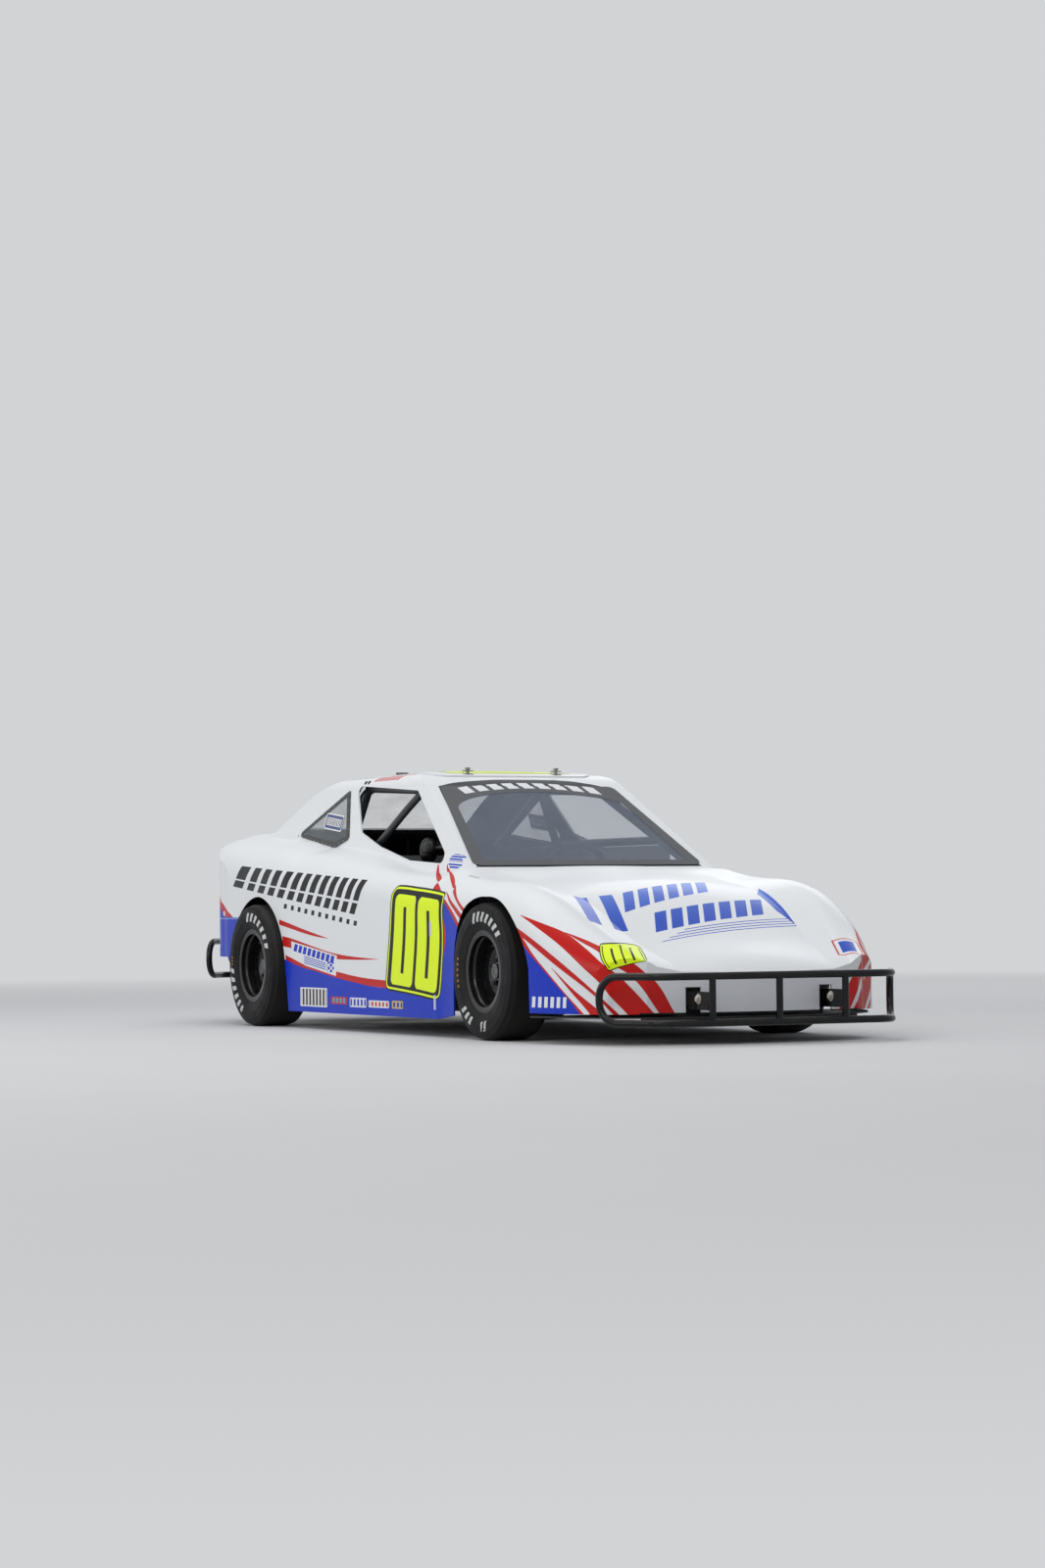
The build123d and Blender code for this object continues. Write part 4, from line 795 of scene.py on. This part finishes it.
plain_finishes = {
    # two colours, roughness, and what differs from the usual
    "wheel black": ((12, 12, 14), (20, 20, 23), 0.26, dict(dust=0.12, fine=220.0, coarse=20.0, bump=0.0003,
                                                           coat=0.2, shine=0.3)),
    "bumper black": ((6, 7, 9), (12, 13, 16), 0.24, dict(coat=0.14, coarse=9.0, shine=0.22, dust=0.05,
                                                         scratched=0.22)),
    "frame black": ((26, 26, 28), (38, 38, 40), 0.42, {}),
    "cage grey": ((56, 57, 60), (44, 45, 48), 0.4, dict(coat=0.2)),
    "zinc fitting": ((150, 148, 140), (112, 108, 98), 0.3, dict(metallic=0.9, coarse=60.0)),
    "bright hub": ((132, 133, 138), (78, 79, 84), 0.24, dict(metallic=1.0, coarse=90.0, dust=0.15)),
    "turned steel": ((170, 170, 172), (116, 116, 118), 0.3, dict(metallic=0.9, coarse=40.0, dust=0.4)),
    "plated bolt": ((222, 218, 206), (176, 172, 160), 0.3, dict(metallic=0.3, coarse=60.0)),
    "damper black": ((24, 24, 26), (34, 34, 37), 0.35, dict(coat=0.3)),
    "bare aluminium": ((176, 177, 180), (146, 148, 152), 0.36, dict(metallic=0.85)),
    "grey sheet": ((158, 160, 166), (138, 140, 146), 0.45, dict(metallic=0.1, coarse=5.0, scratch=(70.0, 5.0, 5.0))),
    "grip rubber": ((22, 22, 24), (30, 30, 32), 0.7, dict(fine=600.0, bump=0.0005)),
    "tray plastic": ((18, 18, 19), (30, 29, 28), 0.6, dict(scratch=(5.0, 60.0, 60.0), scratched=0.4)),
    "seat shell": ((30, 30, 33), (42, 42, 45), 0.4, dict(metallic=0.3)),
    "dash sheet": ((20, 20, 22), (28, 28, 30), 0.5, {}),
    "engine metal": ((120, 120, 120), (92, 92, 92), 0.45, dict(metallic=0.7)),
    "tank plastic": ((104, 26, 24), (80, 18, 18), 0.5, {}),
    "pod plastic": ((9, 9, 11), (15, 15, 17), 0.3, dict(shine=0.25, dust=0.05)),
    "mirror silver": ((150, 156, 162), (120, 126, 134), 0.08, dict(metallic=1.0)),
}
for name, (colour, second, rough, rest) in plain_finishes.items():
    finishes[name] = plain(name, colour, second, rough, **rest)

finish_nodes = {
    "nose paint": "nose_clip", "side paint": "side_panel_left side_panel_right", "tail paint": "rear_clip",
    "roof paint": "roof_shell roof_hatch", "smoky windshield": "windshield", "clear window": "rear_window",
    "side pane": "quarter_windows", "zinc fitting": "hatch_hinges hatch_fittings",
    "front tyre": "tyre_front_left tyre_front_right", "rear tyre": "tyre_rear_left tyre_rear_right",
    "wheel black": "wheel_front_left wheel_front_right wheel_rear_left wheel_rear_right",
    "bright hub": "hub_front_left hub_front_right rear_axle",
    "turned steel": "knuckle_left knuckle_right rack_bar",
    "frame black": "front_arms rear_arms chassis_frame", "damper black": "front_coilovers rear_coilovers",
    "bare aluminium": "steering_housing pedals", "grip rubber": "steering_wheel", "cage grey": "roll_cage",
    "grey sheet": "floor_pan sheet_panels", "tray plastic": "nose_splitter",
    "bumper black": "front_bumper rear_bumper", "seat shell": "seat", "black cloth": "seat_pad",
    "dash sheet": "dash_panel", "engine metal": "engine_block", "tank plastic": "fuel_cell",
    "pod plastic": "mirror_pod",
}


def dress_nodes():
    """Gives each CAD node its finish in all its slots."""
    for finish, names in finish_nodes.items():
        for name in names.split():
            materials = nodes[name].data.materials
            if not materials:
                materials.append(finishes[finish])
            for index in range(len(materials)):
                materials[index] = finishes[finish]


# Stage, light and camera


pale_grey = (0.64, 0.652, 0.668, 1.0)


def seen_directly(tree):
    """1 for the camera's rays and for those that it gets off a mirror or through glass."""
    path = tree.nodes.new("ShaderNodeLightPath")
    camera, mirrored, through = [Field(path.outputs[label]) for label in
                                 ("Is Camera Ray", "Is Glossy Ray", "Is Transmission Ray")]
    return larger(larger(camera, mirrored), through)


def surface(tree, share, first, second, output):
    """Blends two shaders into a tree's output."""
    blend = tree.nodes.new("ShaderNodeMixShader")
    feed(blend.inputs[0], share)
    tree.links.new(first.outputs[0], blend.inputs[1])
    tree.links.new(second.outputs[0], blend.inputs[2])
    tree.links.new(blend.outputs[0], tree.nodes[output].inputs["Surface"])


def make_floor():
    """A pale floor that fades into the background far out."""
    bpy.ops.object.select_all(action="DESELECT")
    bpy.ops.mesh.primitive_plane_add(size=120.0, location=(0.0, 0.0, 0.0))
    floor = bpy.context.object
    floor.name = "studio_floor"
    material, shader, position = new_material("studio floor")
    cloud = noise(position, 0.8, 3.0, 0.5)
    dressed(shader, Base_Color=mixed(shade(206, 206, 207), shade(213, 213, 214), cloud), Roughness=0.9)
    floor.data.materials.append(material)
    far = spread(vector_step("LENGTH", "Value", position), 3.5, 11.0)
    glow = position.tree.nodes.new("ShaderNodeEmission")
    dressed(glow, Color=pale_grey)
    surface(position.tree, far * seen_directly(position.tree), shader, glow, "Material Output")


def make_world():
    """Soft light from all round, and a pale background where it is seen."""
    world = bpy.data.worlds.new("studio")
    bpy.context.scene.world = world
    world.use_nodes = True
    light = world.node_tree.nodes["Background"]
    dressed(light, Color=(0.93, 0.96, 1.0, 1.0), Strength=0.42)
    pale = world.node_tree.nodes.new("ShaderNodeBackground")
    dressed(pale, Color=pale_grey, Strength=1.0)
    surface(world.node_tree, seen_directly(world.node_tree), light, pale, "World Output")


def add_lamp(name, place, aim, size, power, colour=(1.0, 1.0, 1.0)):
    data = bpy.data.lights.new(name, "AREA")
    data.shape = "RECTANGLE"
    data.size, data.size_y = size
    data.energy = power
    data.color = colour
    lamp = bpy.data.objects.new(name, data)
    bpy.context.scene.collection.objects.link(lamp)
    lamp.location = place
    lamp.rotation_euler = (Vector(aim) - Vector(place)).to_track_quat("-Z", "Y").to_euler()


def light_scene():
    add_lamp("overhead", (0.5, -1.0, 6.0), (0.2, 0.0, 0.4), (8.0, 6.0), 210.0)
    add_lamp("key", (5.5, -6.5, 4.6), (0.2, 0.0, 0.4), (4.0, 3.0), 110.0, (1.0, 0.985, 0.96))
    add_lamp("side", (-1.5, -7.5, 2.2), (-0.2, -0.5, 0.4), (6.0, 2.5), 110.0)
    add_lamp("back", (-5.0, 5.0, 4.0), (0.0, 0.0, 0.5), (4.0, 3.0), 60.0, (0.95, 0.97, 1.0))


def place_camera():
    """The photograph's own view, solved from the wheels."""
    data = bpy.data.cameras.new("camera")
    data.lens = 84.705
    data.sensor_width = 36.0
    camera = bpy.data.objects.new("camera", data)
    bpy.context.scene.collection.objects.link(camera)
    right = Vector((0.436026, 0.899883, -0.009784))
    back = Vector((0.899281, -0.436080, -0.032656))
    right = (right - back * right.dot(back) / back.length_squared).normalized()
    back.normalize()
    up = back.cross(right)
    turn = Matrix((right, up, back)).transposed()
    camera.matrix_world = Matrix.Translation((12.4009, -6.0263, 0.4656)) @ turn.to_4x4()
    bpy.context.scene.camera = camera


# Modelled pieces


def clear_choice():
    if bpy.context.mode != "OBJECT":
        bpy.ops.object.mode_set(mode="OBJECT")
    bpy.ops.object.select_all(action="DESELECT")


def take(*pieces):
    """Makes these pieces the only ones selected, the first one active."""
    clear_choice()
    for piece in pieces:
        piece.select_set(True)
    bpy.context.view_layer.objects.active = pieces[0]


def fix_place():
    bpy.ops.object.transform_apply(location=True, rotation=True, scale=True)


def new_piece(name, add, **settings):
    """Adds a primitive with nothing else selected, names it and fixes its place in its mesh."""
    clear_choice()
    add(**settings)
    piece = bpy.context.object
    piece.name = name
    fix_place()
    return piece


def leave_edit():
    bpy.ops.object.mode_set(mode="OBJECT")


def enter_edit(kind="FACE", action="DESELECT"):
    """Opens the active piece for editing with nothing or everything selected."""
    bpy.ops.object.mode_set(mode="EDIT")
    bpy.ops.mesh.select_mode(type=kind)
    bpy.ops.mesh.select_all(action=action)


def settle(piece, modifier):
    """Applies a modifier of the piece."""
    take(piece)
    bpy.ops.object.modifier_apply(modifier=modifier.name)


def pick_faces(piece, test):
    """Opens the piece for editing with only the faces selected whose centre and normal pass a test."""
    take(piece)
    enter_edit()
    leave_edit()
    for face in piece.data.polygons:
        face.select = bool(test(face.center, face.normal))
    bpy.ops.object.mode_set(mode="EDIT")


def pick_all(piece):
    take(piece)
    enter_edit(action="SELECT")


def push_out(move):
    bpy.ops.mesh.extrude_region_move(TRANSFORM_OT_translate={"value": move})


def step_in(border, rise):
    """Insets the selected faces and raises or sinks what is inside."""
    bpy.ops.mesh.inset(thickness=border)
    push_out((0, 0, rise))


def stretch(share, centre):
    bpy.ops.transform.resize(value=share, center_override=centre)


def finished(piece, angle=40):
    """Merges doubles, turns the faces outwards and shades the piece."""
    pick_all(piece)
    bpy.ops.mesh.remove_doubles(threshold=0.00001)
    bpy.ops.mesh.normals_make_consistent(inside=False)
    leave_edit()
    bpy.ops.object.shade_smooth_by_angle(angle=radians(angle))
    return piece


def round_edges(piece, width, segments=2):
    bevel = piece.modifiers.new("rounded edges", "BEVEL")
    bevel.width = width
    bevel.segments = segments
    bevel.limit_method = "ANGLE"
    bevel.angle_limit = radians(40)
    settle(piece, bevel)


def hand_over(piece, finish, body):
    """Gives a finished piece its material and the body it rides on."""
    piece.data.materials.clear()
    piece.data.materials.append(finishes[finish])
    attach(piece, body)


def joined(name, pieces):
    take(*pieces)
    if len(pieces) > 1:
        bpy.ops.object.join()
    pieces[0].name = name
    return pieces[0]


def aimed(way):
    """The turn that points the Z axis along a direction."""
    return Vector(way).to_track_quat("Z", "Y").to_euler()


def set_at(master, name, places):
    """Copies of a small piece, each standing on a point along a direction, joined into one."""
    twins = []
    for point, way in places:
        twin = master.copy()
        twin.data = master.data.copy()
        bpy.context.scene.collection.objects.link(twin)
        twin.rotation_euler = aimed(way)
        twin.location = point
        twins.append(twin)
    take(*twins)
    fix_place()
    return joined(name, twins)


def bolt_head(radius, height):
    """A flanged hex bolt's head with a dished top, standing at the origin."""
    washer = new_piece("washer", bpy.ops.mesh.primitive_cylinder_add, vertices=32, radius=radius * 1.5,
                       depth=height * 0.3, location=(0, 0, height * 0.15))
    round_edges(washer, height * 0.08)
    head = new_piece("hex head", bpy.ops.mesh.primitive_cylinder_add, vertices=6, radius=radius, depth=height,
                     location=(0, 0, height * 0.6))
    pick_faces(head, lambda centre, normal: normal.z > 0.9)
    step_in(radius * 0.16, height * 0.12)
    step_in(radius * 0.3, -height * 0.12)
    leave_edit()
    round_edges(head, radius * 0.05)
    return finished(joined("bolt head", [washer, head]))


def rivet_head(radius):
    """A domed rivet, flat underneath, standing at the origin."""
    rivet = new_piece("rivet", bpy.ops.mesh.primitive_uv_sphere_add, segments=14, ring_count=8, radius=radius)
    pick_all(rivet)
    bpy.ops.mesh.bisect(plane_co=(0, 0, 0), plane_no=(0, 0, 1), clear_inner=True, use_fill=True)
    bpy.ops.mesh.select_all(action="SELECT")
    stretch((1, 1, 0.5), (0, 0, 0))
    leave_edit()
    return finished(rivet)


def along_outline(points, step):
    """Places at even steps along a closed outline."""
    found = []
    for a, b in zip(points, points[1:] + points[:1]):
        count = max(1, round((b - a).length / step))
        found += [a.lerp(b, i / count) for i in range(count)]
    return found


def pillar_y(height):
    """How far the roof's side stands from the middle at a height."""
    return 0.516 - (height - 0.530) * 0.12 / 0.423


def window_rivets(rivet):
    """Rivets round the quarter panes, on the strip that laps the pillar."""
    lap, pitch, stand = 0.012, 0.042, 0.0032
    middle = Vector((sum(x for x, z in quarter_outline) / 4, sum(z for x, z in quarter_outline) / 4))
    lapped = []
    for point in quarter_outline:
        out = Vector(point) - middle
        lapped.append(middle + out * (1 + lap / out.length))
    for side, hand in (("right", -1), ("left", 1)):
        places = []
        for spot in along_outline(lapped, pitch):
            y = hand * (pillar_y(spot.y) + stand)
            places.append(((spot.x, y, spot.y), (0, hand * 0.96, 0.27)))
        rivets = set_at(rivet, "quarter_rivets_" + side, places)
        hand_over(rivets, "zinc fitting", "chassis")


def bracket_bolts(bolt):
    """The bright bolt through each of the front bumper's brackets, with a head on both faces."""
    x, z, half_plate = 1.801, 0.152, 0.005
    for side, y in (("right", -0.25), ("left", 0.25)):
        places = [((x, y + face * half_plate, z), (0, face, 0)) for face in (-1, 1)]
        bolts = set_at(bolt, "bracket_bolts_" + side, places)
        hand_over(bolts, "plated bolt", "chassis")


def wheel_steps():
    """The drop centre of each wheel: a smaller stepped ring inside the barrel, with a valve."""
    wheels = (
        # name, axle, middle of the barrel, body
        ("front_right", front_axle_x, -0.5455, "wheel_front_right"),
        ("front_left", front_axle_x, 0.5455, "wheel_front_left"),
        ("rear_right", rear_axle_x, -0.5885, "rear_wheels"),
        ("rear_left", rear_axle_x, 0.5885, "rear_wheels"),
    )
    step_radius = 0.1222
    # how far outwards each ring lies from the one before, and its share of the radius
    profile = ((0.002, 0.985), (0.004, 0.965), (0.02, 0.955), (0.005, 0.965), (0.003, 0.985), (0.002, 1.0))
    for name, x, y, body in wheels:
        hand = 1 if y > 0 else -1
        ring = new_piece("wheel_step_" + name, bpy.ops.mesh.primitive_cylinder_add, vertices=72, radius=step_radius,
                         depth=0.004, end_fill_type="NOTHING", location=(x, y + hand * 0.018, axle_z),
                         rotation=(pi / 2, 0, 0))
        far = y + hand * 0.02
        for advance, share in profile:
            take(ring)
            enter_edit("EDGE")
            leave_edit()
            spots = [spot.co for spot in ring.data.vertices]
            for edge in ring.data.edges:
                edge.select = all(abs(spots[i].y - far) < 0.0004 for i in edge.vertices)
            lip = [Vector((spot.x - x, spot.z - axle_z)).length for spot in spots if abs(spot.y - far) < 0.0004]
            scale = step_radius * share / max(lip)
            bpy.ops.object.mode_set(mode="EDIT")
            push_out((0, hand * advance, 0))
            stretch((scale, 1, scale), (x, far, axle_z))
            leave_edit()
            far += hand * advance
        wall = ring.modifiers.new("wall", "SOLIDIFY")
        wall.thickness = 0.0006
        settle(ring, wall)
        finished(ring, 30)
        hand_over(ring, "wheel black", body)

        valve = new_piece("valve_" + name, bpy.ops.mesh.primitive_cylinder_add, vertices=16, radius=0.004, depth=0.02)
        pick_faces(valve, lambda centre, normal: normal.z > 0.9)
        step_in(0.0012, 0.008)
        step_in(0.0006, 0.004)
        leave_edit()
        round_edges(valve, 0.0005)
        valve.rotation_euler = aimed((0.0, hand * 0.9, -0.4))
        valve.location = (x + 0.07, y + hand * 0.055, axle_z + 0.095)
        take(valve)
        fix_place()
        finished(valve)
        hand_over(valve, "grip rubber", body)


def pillar_screws(rivet):
    """Two dark screws at the top of each middle pillar, seated in the roof's side."""
    for side, hand in (("right", -1), ("left", 1)):
        near = [nodes["roof_shell"].closest_point_on_mesh((x, hand * 0.3965, 0.938)) for x in (-0.583, -0.551)]
        places = [(spot, normal) for _, spot, normal, _ in near]
        screws = set_at(rivet, "pillar_screws_" + side, places)
        hand_over(screws, "tray plastic", "chassis")


def valance_strip():
    """The rubber strip under the nose's front edge, following its bow."""
    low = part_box("nose_splitter")[0][2]
    strip = new_piece("valance_strip", bpy.ops.mesh.primitive_cube_add, size=1.0, location=(1.758, 0.0, low - 0.007),
                      scale=(0.005, 0.82, 0.018))
    pick_all(strip)
    bpy.ops.mesh.subdivide(number_cuts=19)
    leave_edit()
    bow, half_width, pitch = 0.4, 0.41, 0.041
    for step in range(21):
        y = -half_width + step * pitch
        enter_edit("VERT")
        leave_edit()
        for spot in strip.data.vertices:
            spot.select = abs(spot.co.y - y) < 0.002
        bpy.ops.object.mode_set(mode="EDIT")
        bpy.ops.transform.translate(value=(-bow * y * y, 0, 0))
        leave_edit()
    round_edges(strip, 0.0012)
    finished(strip, 50)
    hand_over(strip, "grip rubber", "chassis")


def brace_end():
    """The last run of the window brace, up into the roof rail."""
    foot, head = Vector((-0.224, -0.3848, 0.8257)), Vector((-0.128, -0.359, 0.893))
    way = head - foot
    brace = new_piece("window_brace_end", bpy.ops.mesh.primitive_cylinder_add, vertices=28, radius=0.0139,
                      depth=way.length, location=(foot + head) / 2, rotation=aimed(way))
    pick_faces(brace, lambda centre, normal: normal.dot(way.normalized()) > 0.9)
    bpy.ops.mesh.inset(thickness=0.002)
    push_out(way.normalized() * 0.002)
    leave_edit()
    finished(brace)
    hand_over(brace, "cage grey", "chassis")


def coil_spring(name, foot, head):
    """A damper with its helical spring, its two seats and its eyes, between two points."""
    foot, head = Vector(foot), Vector(head)
    length = (head - foot).length
    parts = []
    shafts = (
        # radius, from, to, as shares of the length
        (0.0148, 0.05, 0.55), (0.0068, 0.5, 0.96), (0.0305, 0.15, 0.17), (0.0305, 0.85, 0.87), (0.019, 0.17, 0.2),
        (0.0185, 0.5, 0.53),
    )
    for radius, low, high in shafts:
        shaft = new_piece("damper part", bpy.ops.mesh.primitive_cylinder_add, vertices=36, radius=radius,
                          depth=(high - low) * length, location=(0, 0, (low + high) / 2 * length))
        pick_faces(shaft, lambda centre, normal: abs(normal.z) > 0.9)
        bpy.ops.mesh.inset(thickness=radius * 0.12, use_individual=True)
        stretch((1, 1, 1 + 0.002 / ((high - low) * length)), (0, 0, (low + high) / 2 * length))
        leave_edit()
        parts.append(shaft)
    for height in (0.0, length):
        eye = new_piece("eye", bpy.ops.mesh.primitive_cylinder_add, vertices=28, radius=0.0128, depth=0.0236,
                        location=(0, 0, height), rotation=(0, pi / 2, 0))
        pick_faces(eye, lambda centre, normal: abs(normal.x) > 0.9)
        bpy.ops.mesh.inset(thickness=0.005, use_individual=True)
        stretch((0.8, 1, 1), (0, 0, height))
        leave_edit()
        parts.append(eye)
    turns, steps_per_turn = 6.5, 24
    coil = new_piece("coil", bpy.ops.mesh.primitive_circle_add, vertices=10, radius=0.0042, fill_type="NGON",
                     location=(0.0255, 0, 0.175 * length), rotation=(pi / 2, 0, 0))
    turn = coil.modifiers.new("turns", "SCREW")
    turn.axis = "Z"
    turn.angle = 2 * pi * turns
    turn.screw_offset = 0.66 * length
    turn.steps = turn.render_steps = int(turns * steps_per_turn)
    settle(coil, turn)
    parts.append(coil)
    whole = joined(name, parts)
    whole.rotation_euler = aimed(head - foot)
    whole.location = foot
    take(whole)
    fix_place()
    return finished(whole)


def springs():
    """The four coil-overs with real coils, in the places of the plain ones."""
    sets = (
        # name, CAD node, lower eye, upper eye
        ("front_coil_overs", "front_coilovers", (0.929, 0.335, 0.1643), (0.929, 0.2413, 0.455)),
        ("rear_coil_overs", "rear_coilovers", (-1.067, 0.365, 0.3243), (-1.067, 0.325, 0.56)),
    )
    for name, node, foot, head in sets:
        pair = []
        for hand in (1, -1):
            low_end, high_end = (foot[0], hand * foot[1], foot[2]), (head[0], hand * head[1], head[2])
            pair.append(coil_spring(name, low_end, high_end))
        whole = joined(name, pair)
        hand_over(whole, "damper black", "chassis")
        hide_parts(node)


def head_pads():
    """The stuffed pads of the seat's head surround, with two sewn seams round them."""
    source = nodes["seat_pad"]
    pad = bpy.data.objects.new("head_surround_pads", source.data.copy())
    bpy.context.scene.collection.objects.link(pad)
    pad.modifiers.clear()
    pick_all(pad)
    bpy.ops.mesh.remove_doubles(threshold=0.0001)
    bpy.ops.mesh.select_all(action="SELECT")
    bpy.ops.mesh.normals_make_consistent(inside=False)
    bpy.ops.transform.shrink_fatten(value=-0.003)
    leave_edit()
    pad.data.remesh_voxel_size = 0.005
    bpy.ops.object.voxel_remesh()
    low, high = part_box("seat_pad")
    spots = pad.data.vertices
    rest = [vertex.co.copy() for vertex in spots]
    cloth = pad.modifiers.new("Cloth", "CLOTH")
    cloth.settings.use_pressure = True
    cloth.settings.uniform_pressure_force = 4.0
    cloth.settings.effector_weights.gravity = 0.0
    for step in range(1, 21):
        bpy.context.scene.frame_set(step)
    swollen = pad.evaluated_get(bpy.context.evaluated_depsgraph_get()).data
    grown = [vertex.co.copy() for vertex in swollen.vertices]
    pad.modifiers.clear()
    bpy.context.scene.frame_set(1)
    most = 0.006
    for vertex, before, after in zip(spots, rest, grown):
        move = after - before
        if move.length > most:
            move *= most / move.length
        vertex.co = before + move
    seat_y, half_width, seam_depth, seam_width = 0.15, 0.1995, 0.003, 0.006
    for vertex in spots:
        off = vertex.co.y - seat_y
        inward = 1 if off > 0 else -1
        inner = abs(off) < 0.175
        for seam in (0.633, 0.66):
            near = max(0.0, 1 - abs(vertex.co.z - seam) / seam_width)
            if inner:
                off += inward * seam_depth * near * near * (3 - 2 * near)
        vertex.co.y = seat_y + max(-half_width, min(half_width, off))
        vertex.co.x = max(low[0] - 0.002, min(high[0] + 0.004, vertex.co.x))
        vertex.co.z = max(low[2] - 0.003, min(high[2] + 0.003, vertex.co.z))
    smooth = pad.modifiers.new("smooth", "SUBSURF")
    smooth.levels = smooth.render_levels = 1
    settle(pad, smooth)
    finished(pad, 60)
    hand_over(pad, "black cloth", "chassis")
    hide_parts("seat_pad")


def mirror_housing():
    """The mirror's deep oval housing, open to the back, with its silvered face set in it."""
    x, y, z = 0.0445, -0.423, 0.667
    housing = new_piece("mirror_housing", bpy.ops.mesh.primitive_uv_sphere_add, segments=40, ring_count=24, radius=0.5,
                        location=(x, y, z), scale=(0.11, 0.064, 0.096))
    pick_all(housing)
    bpy.ops.mesh.bisect(plane_co=(x - 0.004, y, z), plane_no=(-1, 0, 0), clear_outer=True, use_fill=True)
    leave_edit()
    pick_faces(housing, lambda centre, normal: normal.x < -0.9 and centre.x < x)
    bpy.ops.mesh.inset(thickness=0.003)
    push_out((0.003, 0, 0))
    leave_edit()
    round_edges(housing, 0.0007)
    finished(housing, 50)
    hand_over(housing, "pod plastic", "chassis")
    housing.data.materials.append(finishes["mirror silver"])
    for face in housing.data.polygons:
        if face.normal.x < -0.9 and abs(face.center.x - (x - 0.001)) < 0.0006:
            face.material_index = 1


bolt = bolt_head(0.0115, 0.009)
rivet = rivet_head(0.0032)
screw = rivet_head(0.009)
window_rivets(rivet)
bracket_bolts(bolt)
pillar_screws(screw)
valance_strip()
wheel_steps()
brace_end()
springs()
head_pads()
mirror_housing()
for pattern in (bolt, rivet, screw):
    bpy.data.objects.remove(pattern)
dress_nodes()
make_floor()
make_world()
light_scene()
place_camera()
bpy.context.scene.view_settings.view_transform = "Standard"
